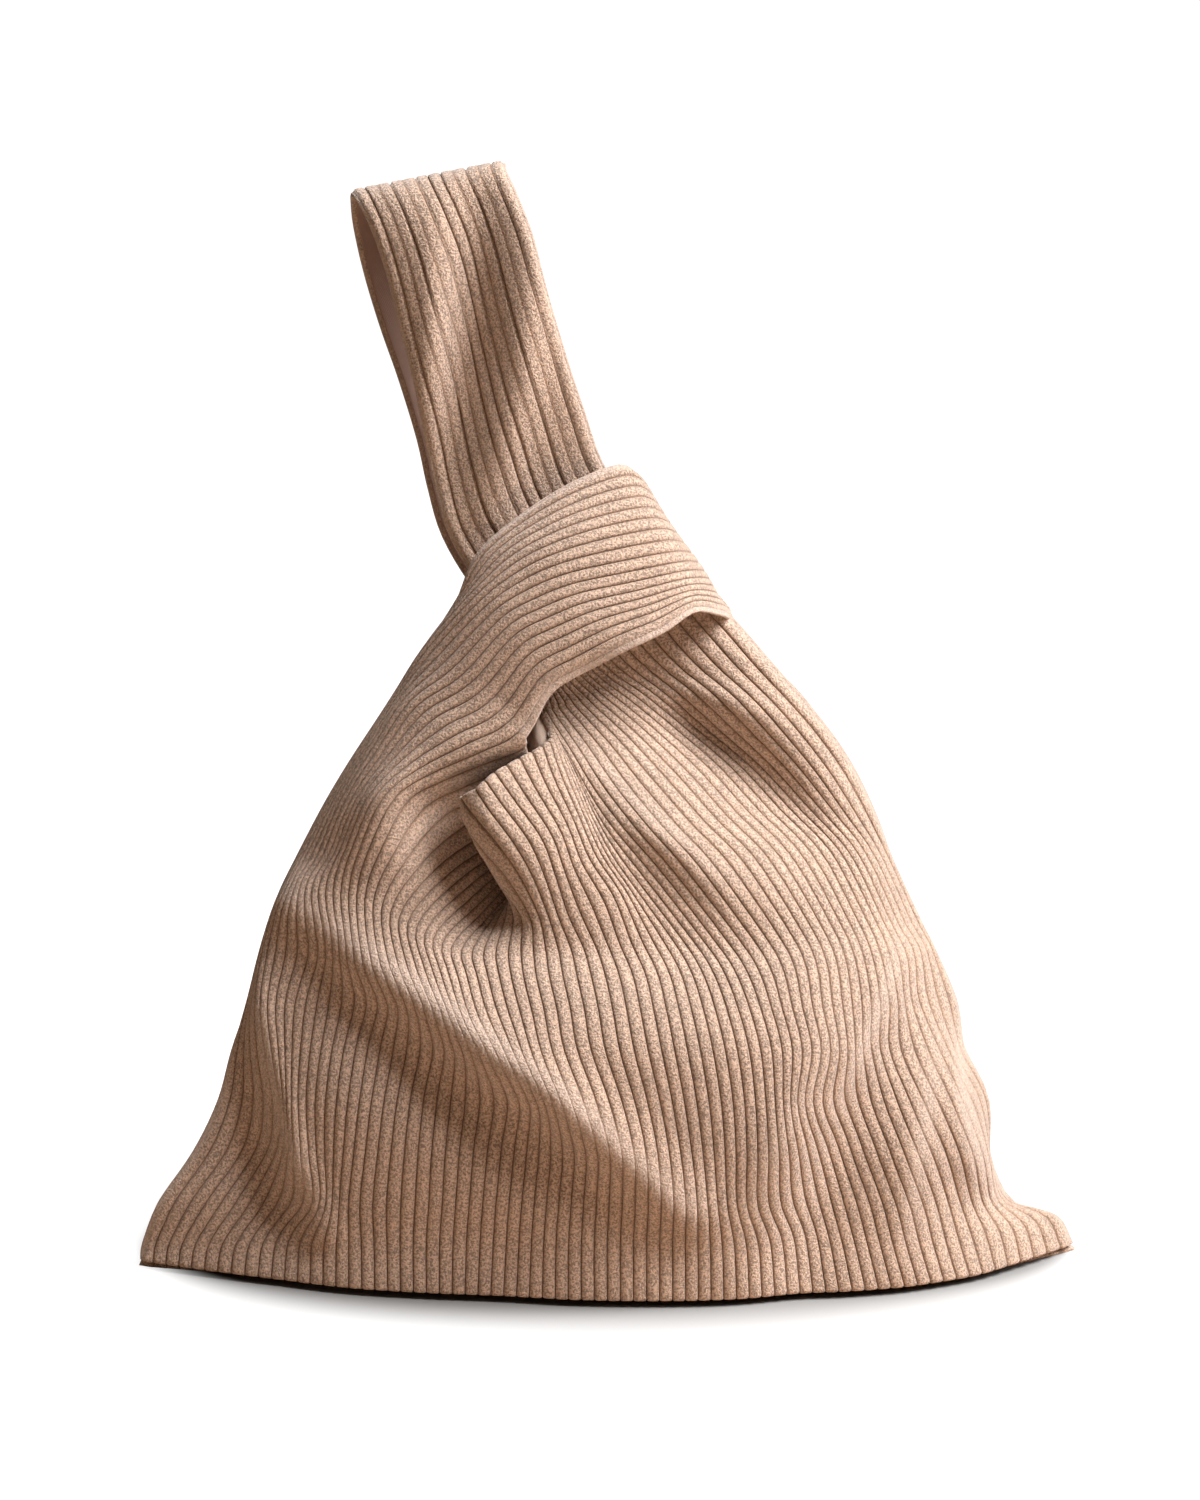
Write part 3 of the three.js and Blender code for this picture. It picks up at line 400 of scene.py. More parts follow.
def shell(name, places, quads, top, bottom, cloth, ground=None):
    """Closed sheet on a net of quads: its outer face lies `top` and its inner face `bottom` along
    the normals, and half a round joins them at every open edge. The net is first moved in depth by
    CLOTH times its normal's part that way, so that the two panels lie apart at their seams. Nothing
    lies below `ground`. `cloth` is kept on the points for the materials."""
    used, quads = np.unique(quads, return_inverse=True)
    quads = quads.reshape(-1, 4)
    places, top, bottom, cloth = (a[used] for a in (places, top, bottom, cloth))
    count = len(used)
    normals = normals_of(places, quads)
    places = places + normals * [0, CLOTH, 0]
    outer = places + normals * top[:, None]
    inner = places + normals * bottom[:, None]
    if ground is not None:
        outer[:, 2] = np.maximum(outer[:, 2], ground)
        inner[:, 2] = np.maximum(inner[:, 2], ground + CLOTH)

    # An edge is open where no other quad runs along it the other way. The rim leans out from there,
    # at right angles to the edge and to the sheet.
    edges = np.concatenate([quads[:, [0, 1]], quads[:, [1, 2]], quads[:, [2, 3]], quads[:, [3, 0]]])
    open_edge = ~np.isin(edges @ [count, 1], edges @ [1, count])
    start, end = edges[open_edge].T
    outward = np.cross(places[end] - places[start], normals[start] + normals[end])
    outward /= np.linalg.norm(outward, axis=1, keepdims=True)
    lean = np.zeros_like(places)
    np.add.at(lean, start, outward)
    np.add.at(lean, end, outward)
    rim = np.unique(start)
    lean = lean[rim] / np.linalg.norm(lean[rim], axis=1, keepdims=True)
    middle, half = (outer[rim] + inner[rim]) / 2, (outer[rim] - inner[rim]) / 2
    reach = np.linalg.norm(half, axis=1, keepdims=True)
    rounds = [middle + half * math.cos(a) + lean * reach * math.sin(a) for a in RIM_ANGLES]
    points = np.concatenate([outer, inner, *rounds])
    if ground is not None:
        points[:, 2] = np.maximum(points[:, 2], ground)

    place_in_rim = np.zeros(count, int)
    place_in_rim[rim] = np.arange(len(rim))
    loops = [np.arange(count)] + [2 * count + k * len(rim) + place_in_rim for k in range(len(rounds))]
    loops.append(np.arange(count) + count)
    faces = [quads, quads[:, ::-1] + count]
    for a, b in zip(loops[:-1], loops[1:]):
        faces.append(np.stack([a[end], a[start], b[start], b[end]], axis=1))
    mesh = bpy.data.meshes.new(name)
    mesh.from_pydata(((points - FOOT_MIDDLE) * MM).tolist(), [], np.concatenate(faces).tolist())
    mesh.polygons.foreach_set("use_smooth", np.ones(len(mesh.polygons), bool))
    kept = mesh.attributes.new("cloth", "FLOAT_VECTOR", "POINT")
    kept.data.foreach_set("vector", np.concatenate([cloth, cloth] + [cloth[rim]] * len(rounds)).ravel())
    piece = bpy.data.objects.new(name, mesh)
    bpy.context.collection.objects.link(piece)
    return piece


def net(exists):
    """Quads of a grid of points where a cell exists. The points are numbered row by row."""
    row, column = np.nonzero(exists)
    in_row = exists.shape[1] + 1
    first = row * in_row + column
    return np.stack([first, first + 1, first + in_row + 1, first + in_row], axis=1)


def outer_panel(name, body, band, under, loop, folds, way, turned, ground):
    """An outer panel as one net: all wales up to the neckline, then the short handle's strip on the
    left and the long handle's on the right. The wales stand up by their profile, which sinks near
    turned edges, on the crests of folds and where the long handle's strip gathers in the knot.
    Gives the piece, its flat size, which is its wales' width by its longest run, and its flat area,
    the sum of each part's wales times its run and the wales' pitch."""
    wales = np.append((np.arange(WALES)[:, None] + WALE_SHARES).ravel(), WALES)
    left = int(np.searchsorted(wales, LEFT_STRIP_WALES)) + 1
    right = int(np.searchsorted(wales, RIGHT_STRIP_FIRST_WALE))

    # The parts of the cut piece: the pouch, then from the neckline, which is the second section of
    # each strip, the short handle's strip and the long handle's, and half of the loop
    pouch = body + [beyond(body, band[0], under[0])]
    places, runs = laid(pouch, wales, 0, len(body) - 1, folds, way, seam_fade)
    ends = [part_of(section, 0, LEFT_STRIP_WALES) for section in body[-2:]]
    band_places, band_runs = laid(ends + band, wales[:left], 1, len(band) + 1, folds, way, seam_fade)
    ends = [part_of(section, RIGHT_STRIP_FIRST_WALE, WALES) for section in body[-2:]]
    under_places, under_runs = laid(ends + under, wales[right:], 1, len(under) + 1, folds, way, seam_fade)
    share = (wales[right:] - RIGHT_STRIP_FIRST_WALE) / (WALES - RIGHT_STRIP_FIRST_WALE)
    loop_wales = share * HANDLE_WALES
    loop_places, loop_runs = laid(loop, loop_wales, 0, len(loop) - 1, HANDLE_FOLDS, -1, front_layer)
    long_places = np.concatenate([under_places, loop_places])
    joint_gap = np.linalg.norm(loop_places[0] - under_places[-1], axis=1).mean()
    long_runs = np.concatenate([under_runs, under_runs[-1] + joint_gap + loop_runs])

    # One grid of places with each one's wale and its run from the hem, the strips side by side on top
    top = len(places) - 1
    joint = top + len(under_places)
    band_end = top + len(band_places)
    long_end = top + len(long_places)
    rows = max(band_end, long_end)
    grid = np.zeros((rows, len(wales), 3))
    length = np.zeros((rows, len(wales)))
    grid[top:band_end, :left] = band_places
    grid[top:long_end, right:] = long_places
    length[top:band_end, :left] = runs[-1] + band_runs[:, None]
    length[top:long_end, right:] = runs[-1] + long_runs[:, None]
    grid[:top + 1], length[:top + 1] = places, runs[:, None]
    near_seam = 1 - eased(np.minimum(wales, WALES - wales))
    grid[:top + 1, :, 1] += way * SEAM_HALF_GAP * near_seam
    number = np.broadcast_to(wales, (rows, len(wales))).copy()
    exists = np.zeros((rows - 1, len(wales) - 1), bool)
    exists[:top] = True
    exists[top:band_end - 1, :left - 1] = True
    exists[top:long_end - 1, right:] = True

    # How far the pile stands, 0 to 1, from how near each place is to an edge or the joint, and lowered on
    # fold crests by the share of painted highlight, which sinks the wales there too
    standing_less_highlight = eased(np.minimum(number, WALES - number) / EDGE_SINK_WALES)
    standing_less_highlight[top + 1:, :left] *= eased((LEFT_STRIP_WALES - wales[:left]) / BAND_SINK_WALES)
    standing_less_highlight[top + 1:, right:] *= eased((wales[right:] - RIGHT_STRIP_FIRST_WALE) / EDGE_SINK_WALES)
    from_joint = np.abs(np.arange(rows) - joint + 0.5)
    standing_less_highlight[top + 1:, right:] *= eased(from_joint[top + 1:, None] / KNOT_SINK_ROWS)
    # Share of painted highlight on fold crests; the loop has none
    crest = crest_highlight_share(grid[..., 0], grid[..., 2], folds)
    crest[joint:, right:] = 0
    standing_less_highlight *= 1 - crest
    number[joint:, right:] = loop_wales
    height = WALE_HEIGHT * wale_profile(number) * standing_less_highlight

    quads = net(exists)
    if turned:
        quads = quads[:, ::-1]
    cloth = np.stack([number, length / WALE_PITCH, standing_less_highlight], axis=-1)
    panel = shell(name, grid.reshape(-1, 3), quads, height.ravel(), np.full(height.size, -CLOTH),
                  cloth.reshape(-1, 3), ground)
    flat = np.array([WALES * WALE_PITCH, runs[-1] + long_runs[-1]]) * MM
    gathered = (WALES - RIGHT_STRIP_FIRST_WALE + HANDLE_WALES) / 2
    strips = LEFT_STRIP_WALES * band_runs[-1] + gathered * under_runs[-1] + HANDLE_WALES * loop_runs[-1]
    area = (WALES * runs[-1] + strips) * WALE_PITCH * MM * MM
    return panel, tuple(flat), area


near_body = [body_section(level) for level in BODY_LEVELS]
near_body += [table_section(row) for row in SHOULDER_SECTIONS]
near_band = [table_section(row) for row in BAND_SECTIONS]
near_under = [table_section(row) for row in UNDER_SECTIONS]
loop_rows = [loop_section(row) for row in LOOP_SECTIONS]
front_body = near_body[:PLEAT_LEVEL] + [deepened(section) for section in near_body[PLEAT_LEVEL:]]
front_panel, front_flat, front_area = outer_panel(
    "front_cloth", front_body, near_band, near_under, loop_rows[:LOOP_TOP + 1], FRONT_FOLDS, -1, False, None)
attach(front_panel, "root")
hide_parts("front_panel")


def node(material, kind, inputs=(), **settings):
    """A shader node with its settings; each input is a number or colour, or another node's socket."""
    made = material.node_tree.nodes.new(kind)
    for name, value in settings.items():
        setattr(made, name, value)
    for name, value in dict(inputs).items():
        if isinstance(value, bpy.types.NodeSocket):
            material.node_tree.links.new(value, made.inputs[name])
        else:
            made.inputs[name].default_value = value
    return made


def sums(material, operation, *values):
    """Result of one math node on numbers or sockets. MULTIPLY_ADD is first times second plus third."""
    return node(material, "ShaderNodeMath", enumerate(values), operation=operation).outputs[0]


def scaled(material, value, scale):
    """Vector with each part multiplied by the scale's own."""
    return node(material, "ShaderNodeVectorMath", {0: value, 1: scale}, operation="MULTIPLY").outputs[0]


def spread(material, value, low, high, to_low=0.0, to_high=1.0):
    """Value carried from the range low..high to the range to_low..to_high by 3x^2 - 2x^3."""
    inputs = {"Value": value, "From Min": low, "From Max": high, "To Min": to_low, "To Max": to_high}
    return node(material, "ShaderNodeMapRange", inputs, interpolation_type="SMOOTHSTEP").outputs[0]


def mixed(material, share, first, second, blend="MIX"):
    """Colour between two colours or sockets. The share is how much of the second it has, or of the
    blend of both."""
    mix = node(material, "ShaderNodeMix", {0: share, 6: first, 7: second}, data_type="RGBA",
               blend_type=blend)
    return mix.outputs[2]


def speckle(material, place, scale, detail=2.0):
    """Noise between 0 and 1 at a place, with so many lumps to the unit."""
    inputs = {"Vector": place, "Scale": scale, "Detail": detail, "Roughness": SPECKLE_ROUGHNESS}
    return node(material, "ShaderNodeTexNoise", inputs).outputs["Fac"]


def new_material(name):
    """A new material and its own shader."""
    material = bpy.data.materials.new(name)
    material.use_nodes = True
    return material, material.node_tree.nodes["Principled BSDF"]


def on_cloth(material):
    """What the mesh keeps at each point as a vector and as its three parts, and the point's place."""
    kept = node(material, "ShaderNodeAttribute", attribute_name="cloth").outputs["Vector"]
    parts = node(material, "ShaderNodeSeparateXYZ", {0: kept}).outputs
    return kept, parts, node(material, "ShaderNodeTexCoord").outputs["Object"]


def coloured(material, shader, colour, height, distance, strength):
    """Joins the colour and a bump of the height, `distance` metres for 1, to the shader."""
    bump = node(material, "ShaderNodeBump", {"Height": height, "Distance": distance, "Strength": strength})
    material.node_tree.links.new(colour, shader.inputs["Base Color"])
    material.node_tree.links.new(bump.outputs[0], shader.inputs["Normal"])


# Corduroy: each wale is a rounded ridge of short cut pile. Its crest catches the light, its flanks are
# darkened with painted shade, the groove beside it is bare and brown and darkened further with painted
# shade, and the pile shows as grains a little under a millimetre wide.
CREST = (0.59, 0.432, 0.336, 1)
FLANK_SHADE = (0.49, 0.34, 0.25, 1)
GROOVE_AND_SHADE = (0.22, 0.12, 0.07, 1)
# Paler colour: the smoothed pile's own near edges, and a painted highlight on fold crests
SMOOTHED_AND_HIGHLIGHT = (0.68, 0.535, 0.45, 1)
# Distances from the crest, 1 being the middle of the groove, over which the flanks' and the groove's
# painted shade comes in, and how far the grains make them ragged
FLANK_SHADE_EDGES = (0.3, 0.95)
GROOVE_AND_SHADE_EDGES = (0.87, 1.06)
RAGGED = 0.8
# How far the pile stands: at the first it takes the paler colour by the largest share given below, and at
# the second not at all. Near edges that paler colour is the smoothed pile's own; on fold crests it is a
# painted highlight. Where it doesn't stand, grooves and grains keep these shares.
STANDING = (0.2, 1.0)
SMOOTHED_AND_HIGHLIGHT_MOST = 0.7
GROOVE_AND_SHADE_WHERE_SUNK = 0.35
GRAIN_WHERE_SUNK = 0.4
GRAINS_PER_METRE = 1200
FINE_GRAIN_RATIO = 2.3
FINE_GRAIN_HEIGHT = 0.4
STREAKS_TO_THE_WALE = (2.6, 0.55, 0)
PATCHES_PER_METRE = 22
SPECKLE_ROUGHNESS = 0.6
# Ranges of a noise and the shades that they are carried to
GRAIN_SHADES = (0.38, 0.62, -0.38, 0.34)
FINE_SHADES = (0.3, 0.7, -0.1, 0.1)
STREAK_SHADES = (0.3, 0.7, -0.07, 0.06)
PATCH_SHADES = (0.3, 0.7, 0.95, 1.05)
PILE_BUMP = (0.001, 0.8)

corduroy, shader = new_material("corduroy")
threads, parts, place = on_cloth(corduroy)
in_wale = sums(corduroy, "FRACT", parts[0])
from_crest = sums(corduroy, "ABSOLUTE", sums(corduroy, "MULTIPLY_ADD", in_wale, 2, -1))
standing_less_highlight = parts[2]
grain = speckle(corduroy, place, GRAINS_PER_METRE)
fine_grain = speckle(corduroy, place, GRAINS_PER_METRE * FINE_GRAIN_RATIO)
streak = speckle(corduroy, scaled(corduroy, threads, STREAKS_TO_THE_WALE), 1.0, 3.0)
patch = speckle(corduroy, place, PATCHES_PER_METRE, 3.0)
ragged = sums(corduroy, "MULTIPLY_ADD", sums(corduroy, "SUBTRACT", grain, 0.5), RAGGED, from_crest)
# The groove's colour is its own bare brown, deepened by painted shade
groove_and_shade = sums(corduroy, "MULTIPLY", spread(corduroy, ragged, *GROOVE_AND_SHADE_EDGES),
                 sums(corduroy, "MULTIPLY_ADD", standing_less_highlight, 1 - GROOVE_AND_SHADE_WHERE_SUNK, GROOVE_AND_SHADE_WHERE_SUNK))
# The flanks are darkened towards the groove with painted shade
colour = mixed(corduroy, spread(corduroy, ragged, *FLANK_SHADE_EDGES), CREST, FLANK_SHADE)
colour = mixed(corduroy, groove_and_shade, colour, GROOVE_AND_SHADE)
# Painted highlight: on fold crests, where the pile stands least, the colour turns pale
colour = mixed(corduroy, spread(corduroy, standing_less_highlight, *STANDING, SMOOTHED_AND_HIGHLIGHT_MOST, 0.0), colour, SMOOTHED_AND_HIGHLIGHT)
shade = sums(corduroy, "ADD", spread(corduroy, grain, *GRAIN_SHADES),
             spread(corduroy, fine_grain, *FINE_SHADES))
shade = sums(corduroy, "MULTIPLY", shade,
             sums(corduroy, "MULTIPLY_ADD", standing_less_highlight, 1 - GRAIN_WHERE_SUNK, GRAIN_WHERE_SUNK))
shade = sums(corduroy, "ADD", shade, spread(corduroy, streak, *STREAK_SHADES))
shade = sums(corduroy, "ADD", shade, spread(corduroy, patch, *PATCH_SHADES))
tone = node(corduroy, "ShaderNodeCombineColor", {0: shade, 1: shade, 2: shade}).outputs[0]
colour = mixed(corduroy, 1.0, colour, tone, "MULTIPLY")
lumps = sums(corduroy, "MULTIPLY_ADD", fine_grain, FINE_GRAIN_HEIGHT, grain)
coloured(corduroy, shader, colour, lumps, *PILE_BUMP)
shader.inputs["Roughness"].default_value = 0.92
shader.inputs["Specular IOR Level"].default_value = 0.15
shader.inputs["Sheen Weight"].default_value = 0.5
shader.inputs["Sheen Roughness"].default_value = 0.5
shader.inputs["Sheen Tint"].default_value = (1.0, 0.97, 0.97, 1)
front_panel.data.materials.append(corduroy)

# Back outer panel: the same cut as the front one. Its lower part is the base that the bag stands on,
# and its handle halves are sewn to the front's at the top of the long loop and at the short one's turn.
BACK_FULLNESS = 0.92
BACK_BOW = 14
FAR_DROP_FROM = 60
FAR_DROP_TO = 200
BAND_MIDDLE_DEPTH = 4
EARS_LEVEL = 2
EAR_SHARE = 0.07
BASE_BACK_DEPTH = 46
BASE_ROUNDNESS = 2.5
# Rows of the base: shares of the way back, the height, and the share of the climb up the side seams
BASE_ROWS = [("front edge", 0.14, 0, 0), ("middle", 0.5, 0, 0.25), ("back edge", 0.97, 0, 0.5),
             ("turn up", 1.08, 9, 0.75)]
BACK_FOLDS = [
    ("back sweep", [(-90, 150), (-20, 100), (60, 60)], 6, 14),
    ("back hollow", [(-70, 120), (-10, 75), (50, 35)], -5, 16),
    ("back shoulder fold", [(100, 180), (70, 130), (60, 90)], 4, 12),
]


def far_section(section, seam=None, fullness=BACK_FULLNESS):
    """The same section on the far side of the bag: mirrored in depth, times the fullness, about a
    line from seam to seam that bows back by BACK_BOW times 2t(1 - t), or about the depth `seam`. So
    that the near one hides it from the camera, it is lowered by the tangent of the camera's tilt
    times the way between the two, eased in over the heights FAR_DROP_FROM to FAR_DROP_TO."""
    wales, places = section
    t = (wales - wales[0]) / (wales[-1] - wales[0])
    line = places[0, 1] + t * (places[-1, 1] - places[0, 1]) + BACK_BOW * 2 * t * (1 - t)
    middle = line if seam is None else seam
    back = middle + (middle - places[:, 1]) * fullness
    drop = eased((places[:, 2] - FAR_DROP_FROM) / (FAR_DROP_TO - FAR_DROP_FROM))
    height = places[:, 2] - drop * math.tan(VIEW_TILT) * (back - places[:, 1])
    return wales, np.stack([places[:, 0], back, height], axis=-1)


def base_section(row, hem, ears):
    """A row of the base: flat on the floor towards a back edge that is rounded as
    1 - |2t - 1|^BASE_ROUNDNESS, and climbing the side seams from the hem's tips at both ears."""
    _, depth, height, climb = row
    wales, places = hem
    t = wales / WALES
    end = np.where(t < 0.5, 0, -1)
    tip, seam_place = places[end], ears[1][end]
    far = tip[:, 1] + (BASE_BACK_DEPTH - tip[:, 1]) * (1 - np.abs(2 * t - 1) ** BASE_ROUNDNESS)
    flat = np.stack([places[:, 0], places[:, 1] + (far - places[:, 1]) * depth,
                     np.full(len(t), float(height))], axis=-1)
    climbing = tip * [1, 1, 0] + (seam_place - tip * [1, 1, 0]) * climb
    inside = eased(np.minimum(t, 1 - t) / EAR_SHARE)[:, None]
    return wales, climbing + (flat - climbing) * inside


far_body = [base_section(row, near_body[0], near_body[EARS_LEVEL]) for row in BASE_ROWS]
far_body += [far_section(section) for section in near_body[EARS_LEVEL:]]
far_band = [far_section(section, BAND_MIDDLE_DEPTH, 1) for section in near_band]
far_under = [far_section(section, BAND_MIDDLE_DEPTH, 1) for section in near_under]
back_panel, back_flat, back_area = outer_panel(
    "back_cloth", far_body, far_band, far_under, loop_rows[LOOP_TOP:][::-1], BACK_FOLDS, 1, True, 0.0)
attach(back_panel, "root")
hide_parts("back_panel")
back_panel.data.materials.append(corduroy)

# Handle lining: one strip of smooth cotton sewn along the inner face of the long handle, a little
# narrower than the corduroy. It shows where the handle's two layers lie apart at the left.
LINING_THICKNESS = 1.0
LINING_GAP = 0.3
# The rows of the loop between which the lining runs
LINING_FIRST = 1
LINING_LAST = 19
LINING_WALES = np.linspace(0.4, 11.6, 45)
LINING_BASE = (0.45, 0.31, 0.26, 1)
LINING_DARK = (0.34, 0.225, 0.185, 1)
# Painted light: the facing's copy of the lining's cotton, paler as if lit in the shade where it lies
FACING_PAINTED_LIGHT = (0.85, 0.66, 0.54, 1)
THREADS_PER_MM = 1.6
SLUBS_PER_METRE = 180
# Share of the paler colour from the lowest to the highest place of the weave, and what slubs add
WEAVE_SHARES = (0.15, 0.85)
SLUB_SHARES = (0.3, 0.7, 0, 0.35)
WEAVE_BUMP = (0.0002, 0.6)


def plain_strip(name, places, top, bottom, painted_light_share):
    """Closed sheet on a plain grid of places, and its flat size. On its points it keeps its thread
    counts across and along, THREADS_PER_MM times the lengths, and whether it takes the paler colour of
    painted light, 0 or 1."""
    rows, columns = places.shape[:2]
    quads = net(np.ones((rows - 1, columns - 1), bool))
    along = measured(places, 0)
    across = measured(places, 1)
    threads = np.stack([np.broadcast_to(across, (rows, columns)),
                        np.broadcast_to(along[:, None], (rows, columns)),
                        np.full((rows, columns), painted_light_share / THREADS_PER_MM)], axis=-1)
    count = rows * columns
    strip = shell(name, places.reshape(-1, 3), quads, np.full(count, top), np.full(count, bottom),
                  (threads * THREADS_PER_MM).reshape(-1, 3))
    return strip, (across[-1] * MM, along[-1] * MM)


lining_places, _ = laid(loop_rows, LINING_WALES, LINING_FIRST, LINING_LAST, HANDLE_FOLDS, -1, front_layer)
lining, lining_flat = plain_strip("lining_cloth", lining_places, -CLOTH - LINING_GAP,
                                  -CLOTH - LINING_GAP - LINING_THICKNESS, 0)
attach(lining, "root")
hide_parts("handle_lining")

plain_cotton, shader = new_material("plain_cotton")
threads, parts, place = on_cloth(plain_cotton)
warp = sums(plain_cotton, "SINE", sums(plain_cotton, "MULTIPLY", parts[0], math.tau))
weft = sums(plain_cotton, "SINE", sums(plain_cotton, "MULTIPLY", parts[1], math.tau))
weave = sums(plain_cotton, "MULTIPLY", warp, weft)
slub = speckle(plain_cotton, place, SLUBS_PER_METRE, 3.0)
colour = mixed(plain_cotton, spread(plain_cotton, weave, -1, 1, *WEAVE_SHARES), LINING_DARK, LINING_BASE)
colour = mixed(plain_cotton, spread(plain_cotton, slub, *SLUB_SHARES), colour, LINING_BASE)
# Painted light: the facing takes the paler copy of the colour
colour = mixed(plain_cotton, parts[2], colour, FACING_PAINTED_LIGHT)
coloured(plain_cotton, shader, colour, weave, *WEAVE_BUMP)
shader.inputs["Roughness"].default_value = 0.85
shader.inputs["Specular IOR Level"].default_value = 0.2
lining.data.materials.append(plain_cotton)

# Neckline facing: a bias strip of the same smooth cotton that finishes the neckline. A short piece of
# it shows as a crescent beside the dark gap under the short handle. It takes a paler colour than the
# lining as painted light, as if lit where it lies in the short handle's shade.
FACING_GAP = 0.6
FACING_TURN_IN = 3.0
FACING_STATIONS = np.linspace(0, 2, 17)
EDGE_HALF_SPAN = 0.25
# Rows of the facing: the wale whose edge it is sewn to, and its inner and middle places as seen
FACING_ROWS = [
    (44.5, (-28, 203, -9), (-25.5, 204, -30)),
    (45.5, (-28, 210, -9), (-25.5, 210, -31)),
    (48, (-28, 217, -8), (-25, 217, -27)),
    (50, (-27, 222, -6), (-24.5, 222, -17)),
]


def behind_neckline(wale):
    """Place FACING_TURN_IN below the neckline's edge at a wale and FACING_GAP behind the panel's
    inner face. The normal there is the cross of the way across, from EDGE_HALF_SPAN wales before to
    as much after, and the way up."""
    beyond_top = near_body[-2:] + [beyond(near_body, near_band[0], near_under[0])]
    wales = np.array([wale - EDGE_HALF_SPAN, wale, wale + EDGE_HALF_SPAN])
    rows, _ = laid(beyond_top, wales, 0, 1, FRONT_FOLDS, -1, seam_fade)
    up = rows[-1, 1] - rows[-2, 1]
    normal = np.cross(rows[-1, 2] - rows[-1, 0], up)
    normal /= np.linalg.norm(normal)
    edge = rows[-1, 1] - FACING_TURN_IN * up / np.linalg.norm(up)
    return edge + normal * [0, CLOTH, 0] - normal * (CLOTH + FACING_GAP)


facing_rows = []
for wale, inside, middle in FACING_ROWS:
    own = [seen(*np.array(seen_place, float)) for seen_place in (inside, middle)]
    facing_rows.append((np.array([0.0, 1.0, 2.0]), np.array(own + [behind_neckline(wale)])))
facing_places, _ = laid(facing_rows, FACING_STATIONS, 0, len(facing_rows) - 1, [], -1, seam_fade)
facing, facing_flat = plain_strip("facing_cloth", facing_places, 0.0, -LINING_THICKNESS, 1)
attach(facing, "root")
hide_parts("neckline_facing")
facing.data.materials.append(plain_cotton)

# Studio: a sweep of seamless paper, a broad soft key from the upper right, a weak light from the
# right and a faint warm light from all round. The bag gets brownish light back from the paper. The
# camera sees the paper dim under the foot, with the bag's shadow, and glowing white further out.
SWEEP_FRONT = -4.0
SWEEP_BACK = 3.0
SWEEP_RADIUS = 1.2
SWEEP_HEIGHT = 4.0
SWEEP_HALF_WIDTH = 5.0
SWEEP_STATIONS = 17
WHITE = (1, 1, 1, 1)
PAPER = (0.3, 0.3, 0.3, 1)
PAPER_BOUNCE = (0.5, 0.36, 0.26, 1)
PAPER_GLOW = 0.0
PAPER_FAR_GLOW = 0.97
# The glow begins at the first ellipse and is full at the second one. The middle of both lies
# FOOT_SETBACK behind the foot's middle.
FOOT_SETBACK = 0.015
SHADE_HALF_SIZE = (0.171, 0.070)
GLOW_HALF_SIZE = (0.183, 0.150)
AMBIENT = (1, 0.78, 0.6, 1)
AMBIENT_STRENGTH = 0.06
# Lights: name, place in metres, size in metres, power in watts, colour
LIGHTS = [
    ("key", (1.25, -0.56, 2.05), 1.2, 108, (1.0, 0.985, 0.975)),
    ("edge", (2.1, -0.2, 1.1), 0.8, 12, (1.0, 0.99, 0.98)),
]


def from_ellipse(material, place, half_size):
    """How far out a place on the floor is from the middle of an ellipse, 1 being on the ellipse:
    the length of the place with each part divided by the ellipse's half size."""
    inside = scaled(material, place, (1 / half_size[0], 1 / half_size[1], 0))
    return node(material, "ShaderNodeVectorMath", {0: inside}, operation="LENGTH").outputs["Value"]


def soft_light(name, place, size, power, colour):
    """Square area light at a place in metres, facing the bag's middle."""
    light = bpy.data.lights.new(name, "AREA")
    light.size = size
    light.energy = power
    light.color = colour
    lamp = bpy.data.objects.new(name, light)
    lamp.location = place
    lamp.rotation_euler = (Vector(place) - target).to_track_quat("Z", "Y").to_euler()
    bpy.context.collection.objects.link(lamp)


# The sweep's profile lies flat, turns up by a quarter of a round and stands upright. It is carried
# straight across from side to side.
turn = np.linspace(0, math.pi / 2, SWEEP_STATIONS)
profile = np.concatenate([
    [[SWEEP_FRONT, 0]],
    np.stack([SWEEP_BACK + SWEEP_RADIUS * np.sin(turn), SWEEP_RADIUS * (1 - np.cos(turn))], axis=1),
    [[SWEEP_BACK + SWEEP_RADIUS, SWEEP_HEIGHT]],
])
sides = np.array([-SWEEP_HALF_WIDTH, SWEEP_HALF_WIDTH])
sweep_points = np.stack([np.broadcast_to(sides, (len(profile), 2)),
                         np.broadcast_to(profile[:, :1], (len(profile), 2)),
                         np.broadcast_to(profile[:, 1:], (len(profile), 2))], axis=-1)
sweep_quads = net(np.ones((len(profile) - 1, 1), bool))
mesh = bpy.data.meshes.new("floor")
mesh.from_pydata(sweep_points.reshape(-1, 3).tolist(), [], sweep_quads.tolist())
mesh.polygons.foreach_set("use_smooth", np.ones(len(mesh.polygons), bool))
floor = bpy.data.objects.new("floor", mesh)
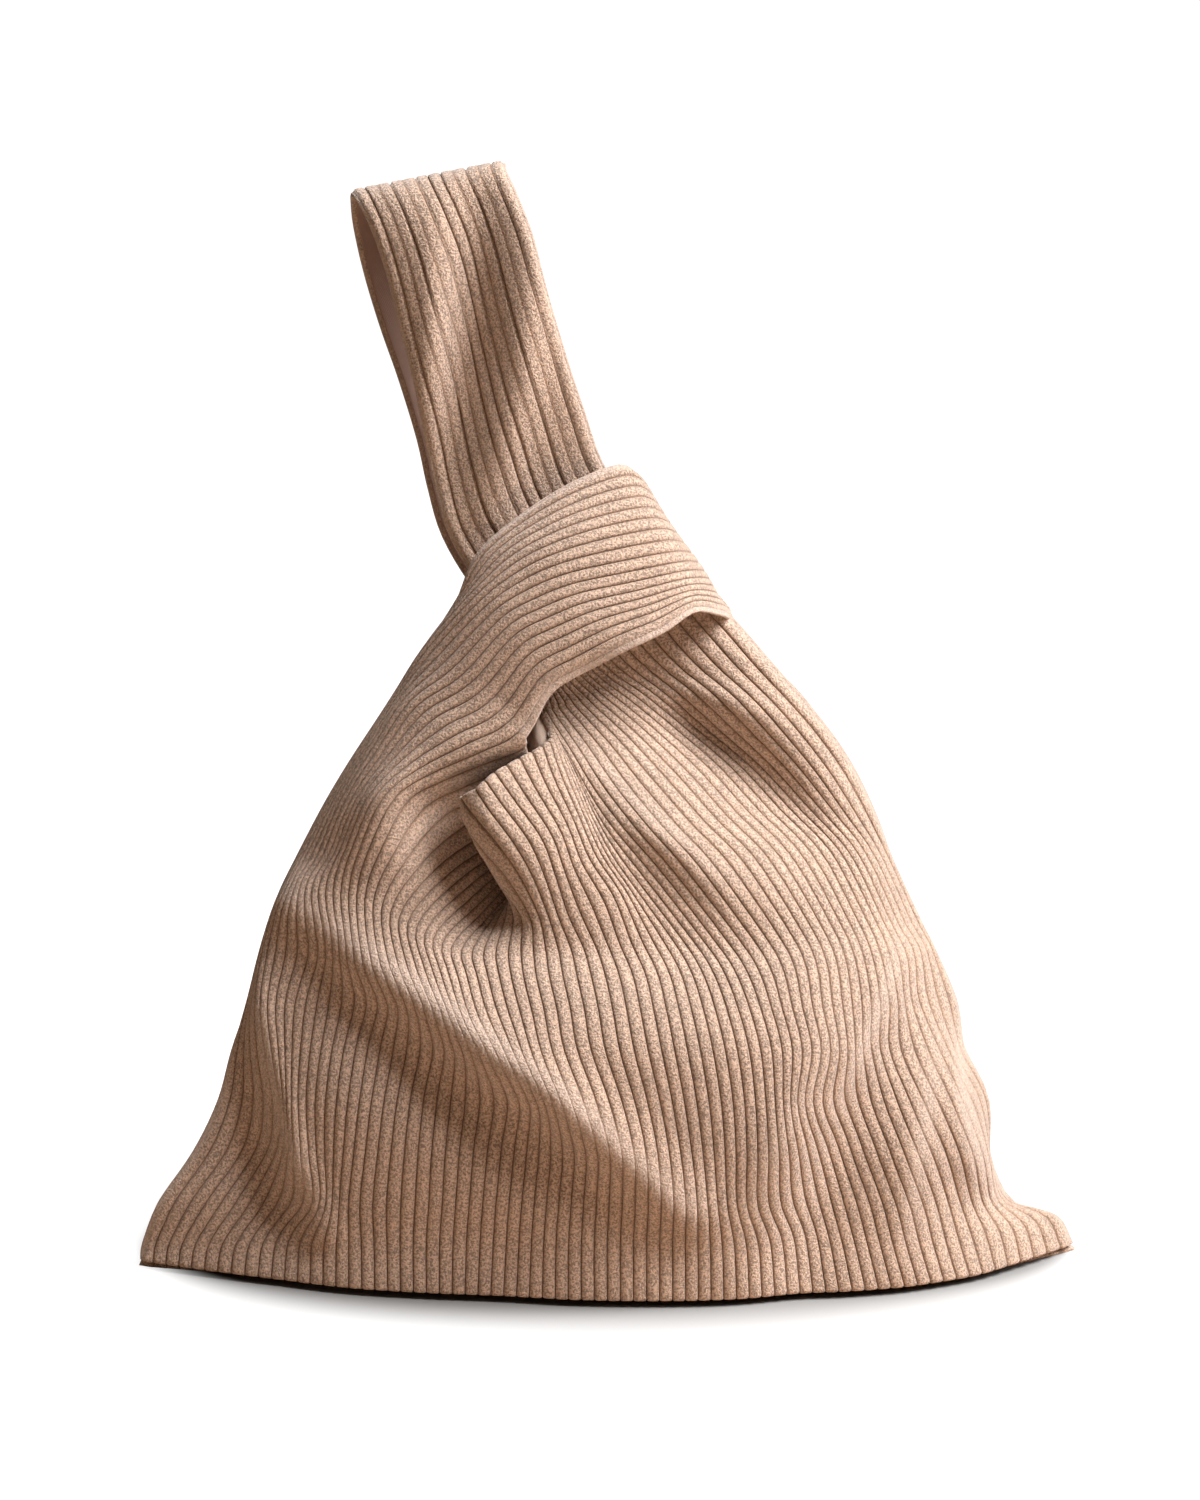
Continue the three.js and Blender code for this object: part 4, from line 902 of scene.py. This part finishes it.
bpy.context.collection.objects.link(floor)

paper, shader = new_material("paper")
shader.inputs["Base Color"].default_value = PAPER_BOUNCE
shader.inputs["Roughness"].default_value = 0.9
shader.inputs["Specular IOR Level"].default_value = 0.1
place = node(paper, "ShaderNodeTexCoord").outputs["Object"]
from_middle = node(paper, "ShaderNodeVectorMath", {0: place, 1: (0, FOOT_SETBACK, 0)},
                   operation="SUBTRACT").outputs[0]
near = from_ellipse(paper, from_middle, SHADE_HALF_SIZE)
far = from_ellipse(paper, from_middle, GLOW_HALF_SIZE)
# The share of the way from the first ellipse to the second one
share = sums(paper, "DIVIDE", sums(paper, "SUBTRACT", near, 1), sums(paper, "SUBTRACT", near, far))
strength = spread(paper, share, 0, 1, PAPER_GLOW, PAPER_FAR_GLOW)
glow = node(paper, "ShaderNodeEmission", {"Color": WHITE, "Strength": strength})
face = node(paper, "ShaderNodeBsdfDiffuse", {"Color": PAPER})
lit = node(paper, "ShaderNodeAddShader", {0: face.outputs[0], 1: glow.outputs[0]})
to_camera = node(paper, "ShaderNodeLightPath").outputs["Is Camera Ray"]
shown = node(paper, "ShaderNodeMixShader", {0: to_camera, 1: shader.outputs[0], 2: lit.outputs[0]})
paper.node_tree.links.new(shown.outputs[0], paper.node_tree.nodes["Material Output"].inputs["Surface"])
floor.data.materials.append(paper)

for light in LIGHTS:
    soft_light(*light)
world = bpy.data.worlds.new("studio")
world.use_nodes = True
ambient = world.node_tree.nodes["Background"]
ambient.inputs["Color"].default_value = AMBIENT
ambient.inputs["Strength"].default_value = AMBIENT_STRENGTH
beyond_paper = node(world, "ShaderNodeBackground", {"Color": WHITE})
to_camera = node(world, "ShaderNodeLightPath").outputs["Is Camera Ray"]
shown = node(world, "ShaderNodeMixShader",
             {0: to_camera, 1: ambient.outputs[0], 2: beyond_paper.outputs[0]})
world.node_tree.links.new(shown.outputs[0], world.node_tree.nodes["World Output"].inputs["Surface"])
bpy.context.scene.world = world
bpy.context.scene.view_settings.view_transform = "Standard"
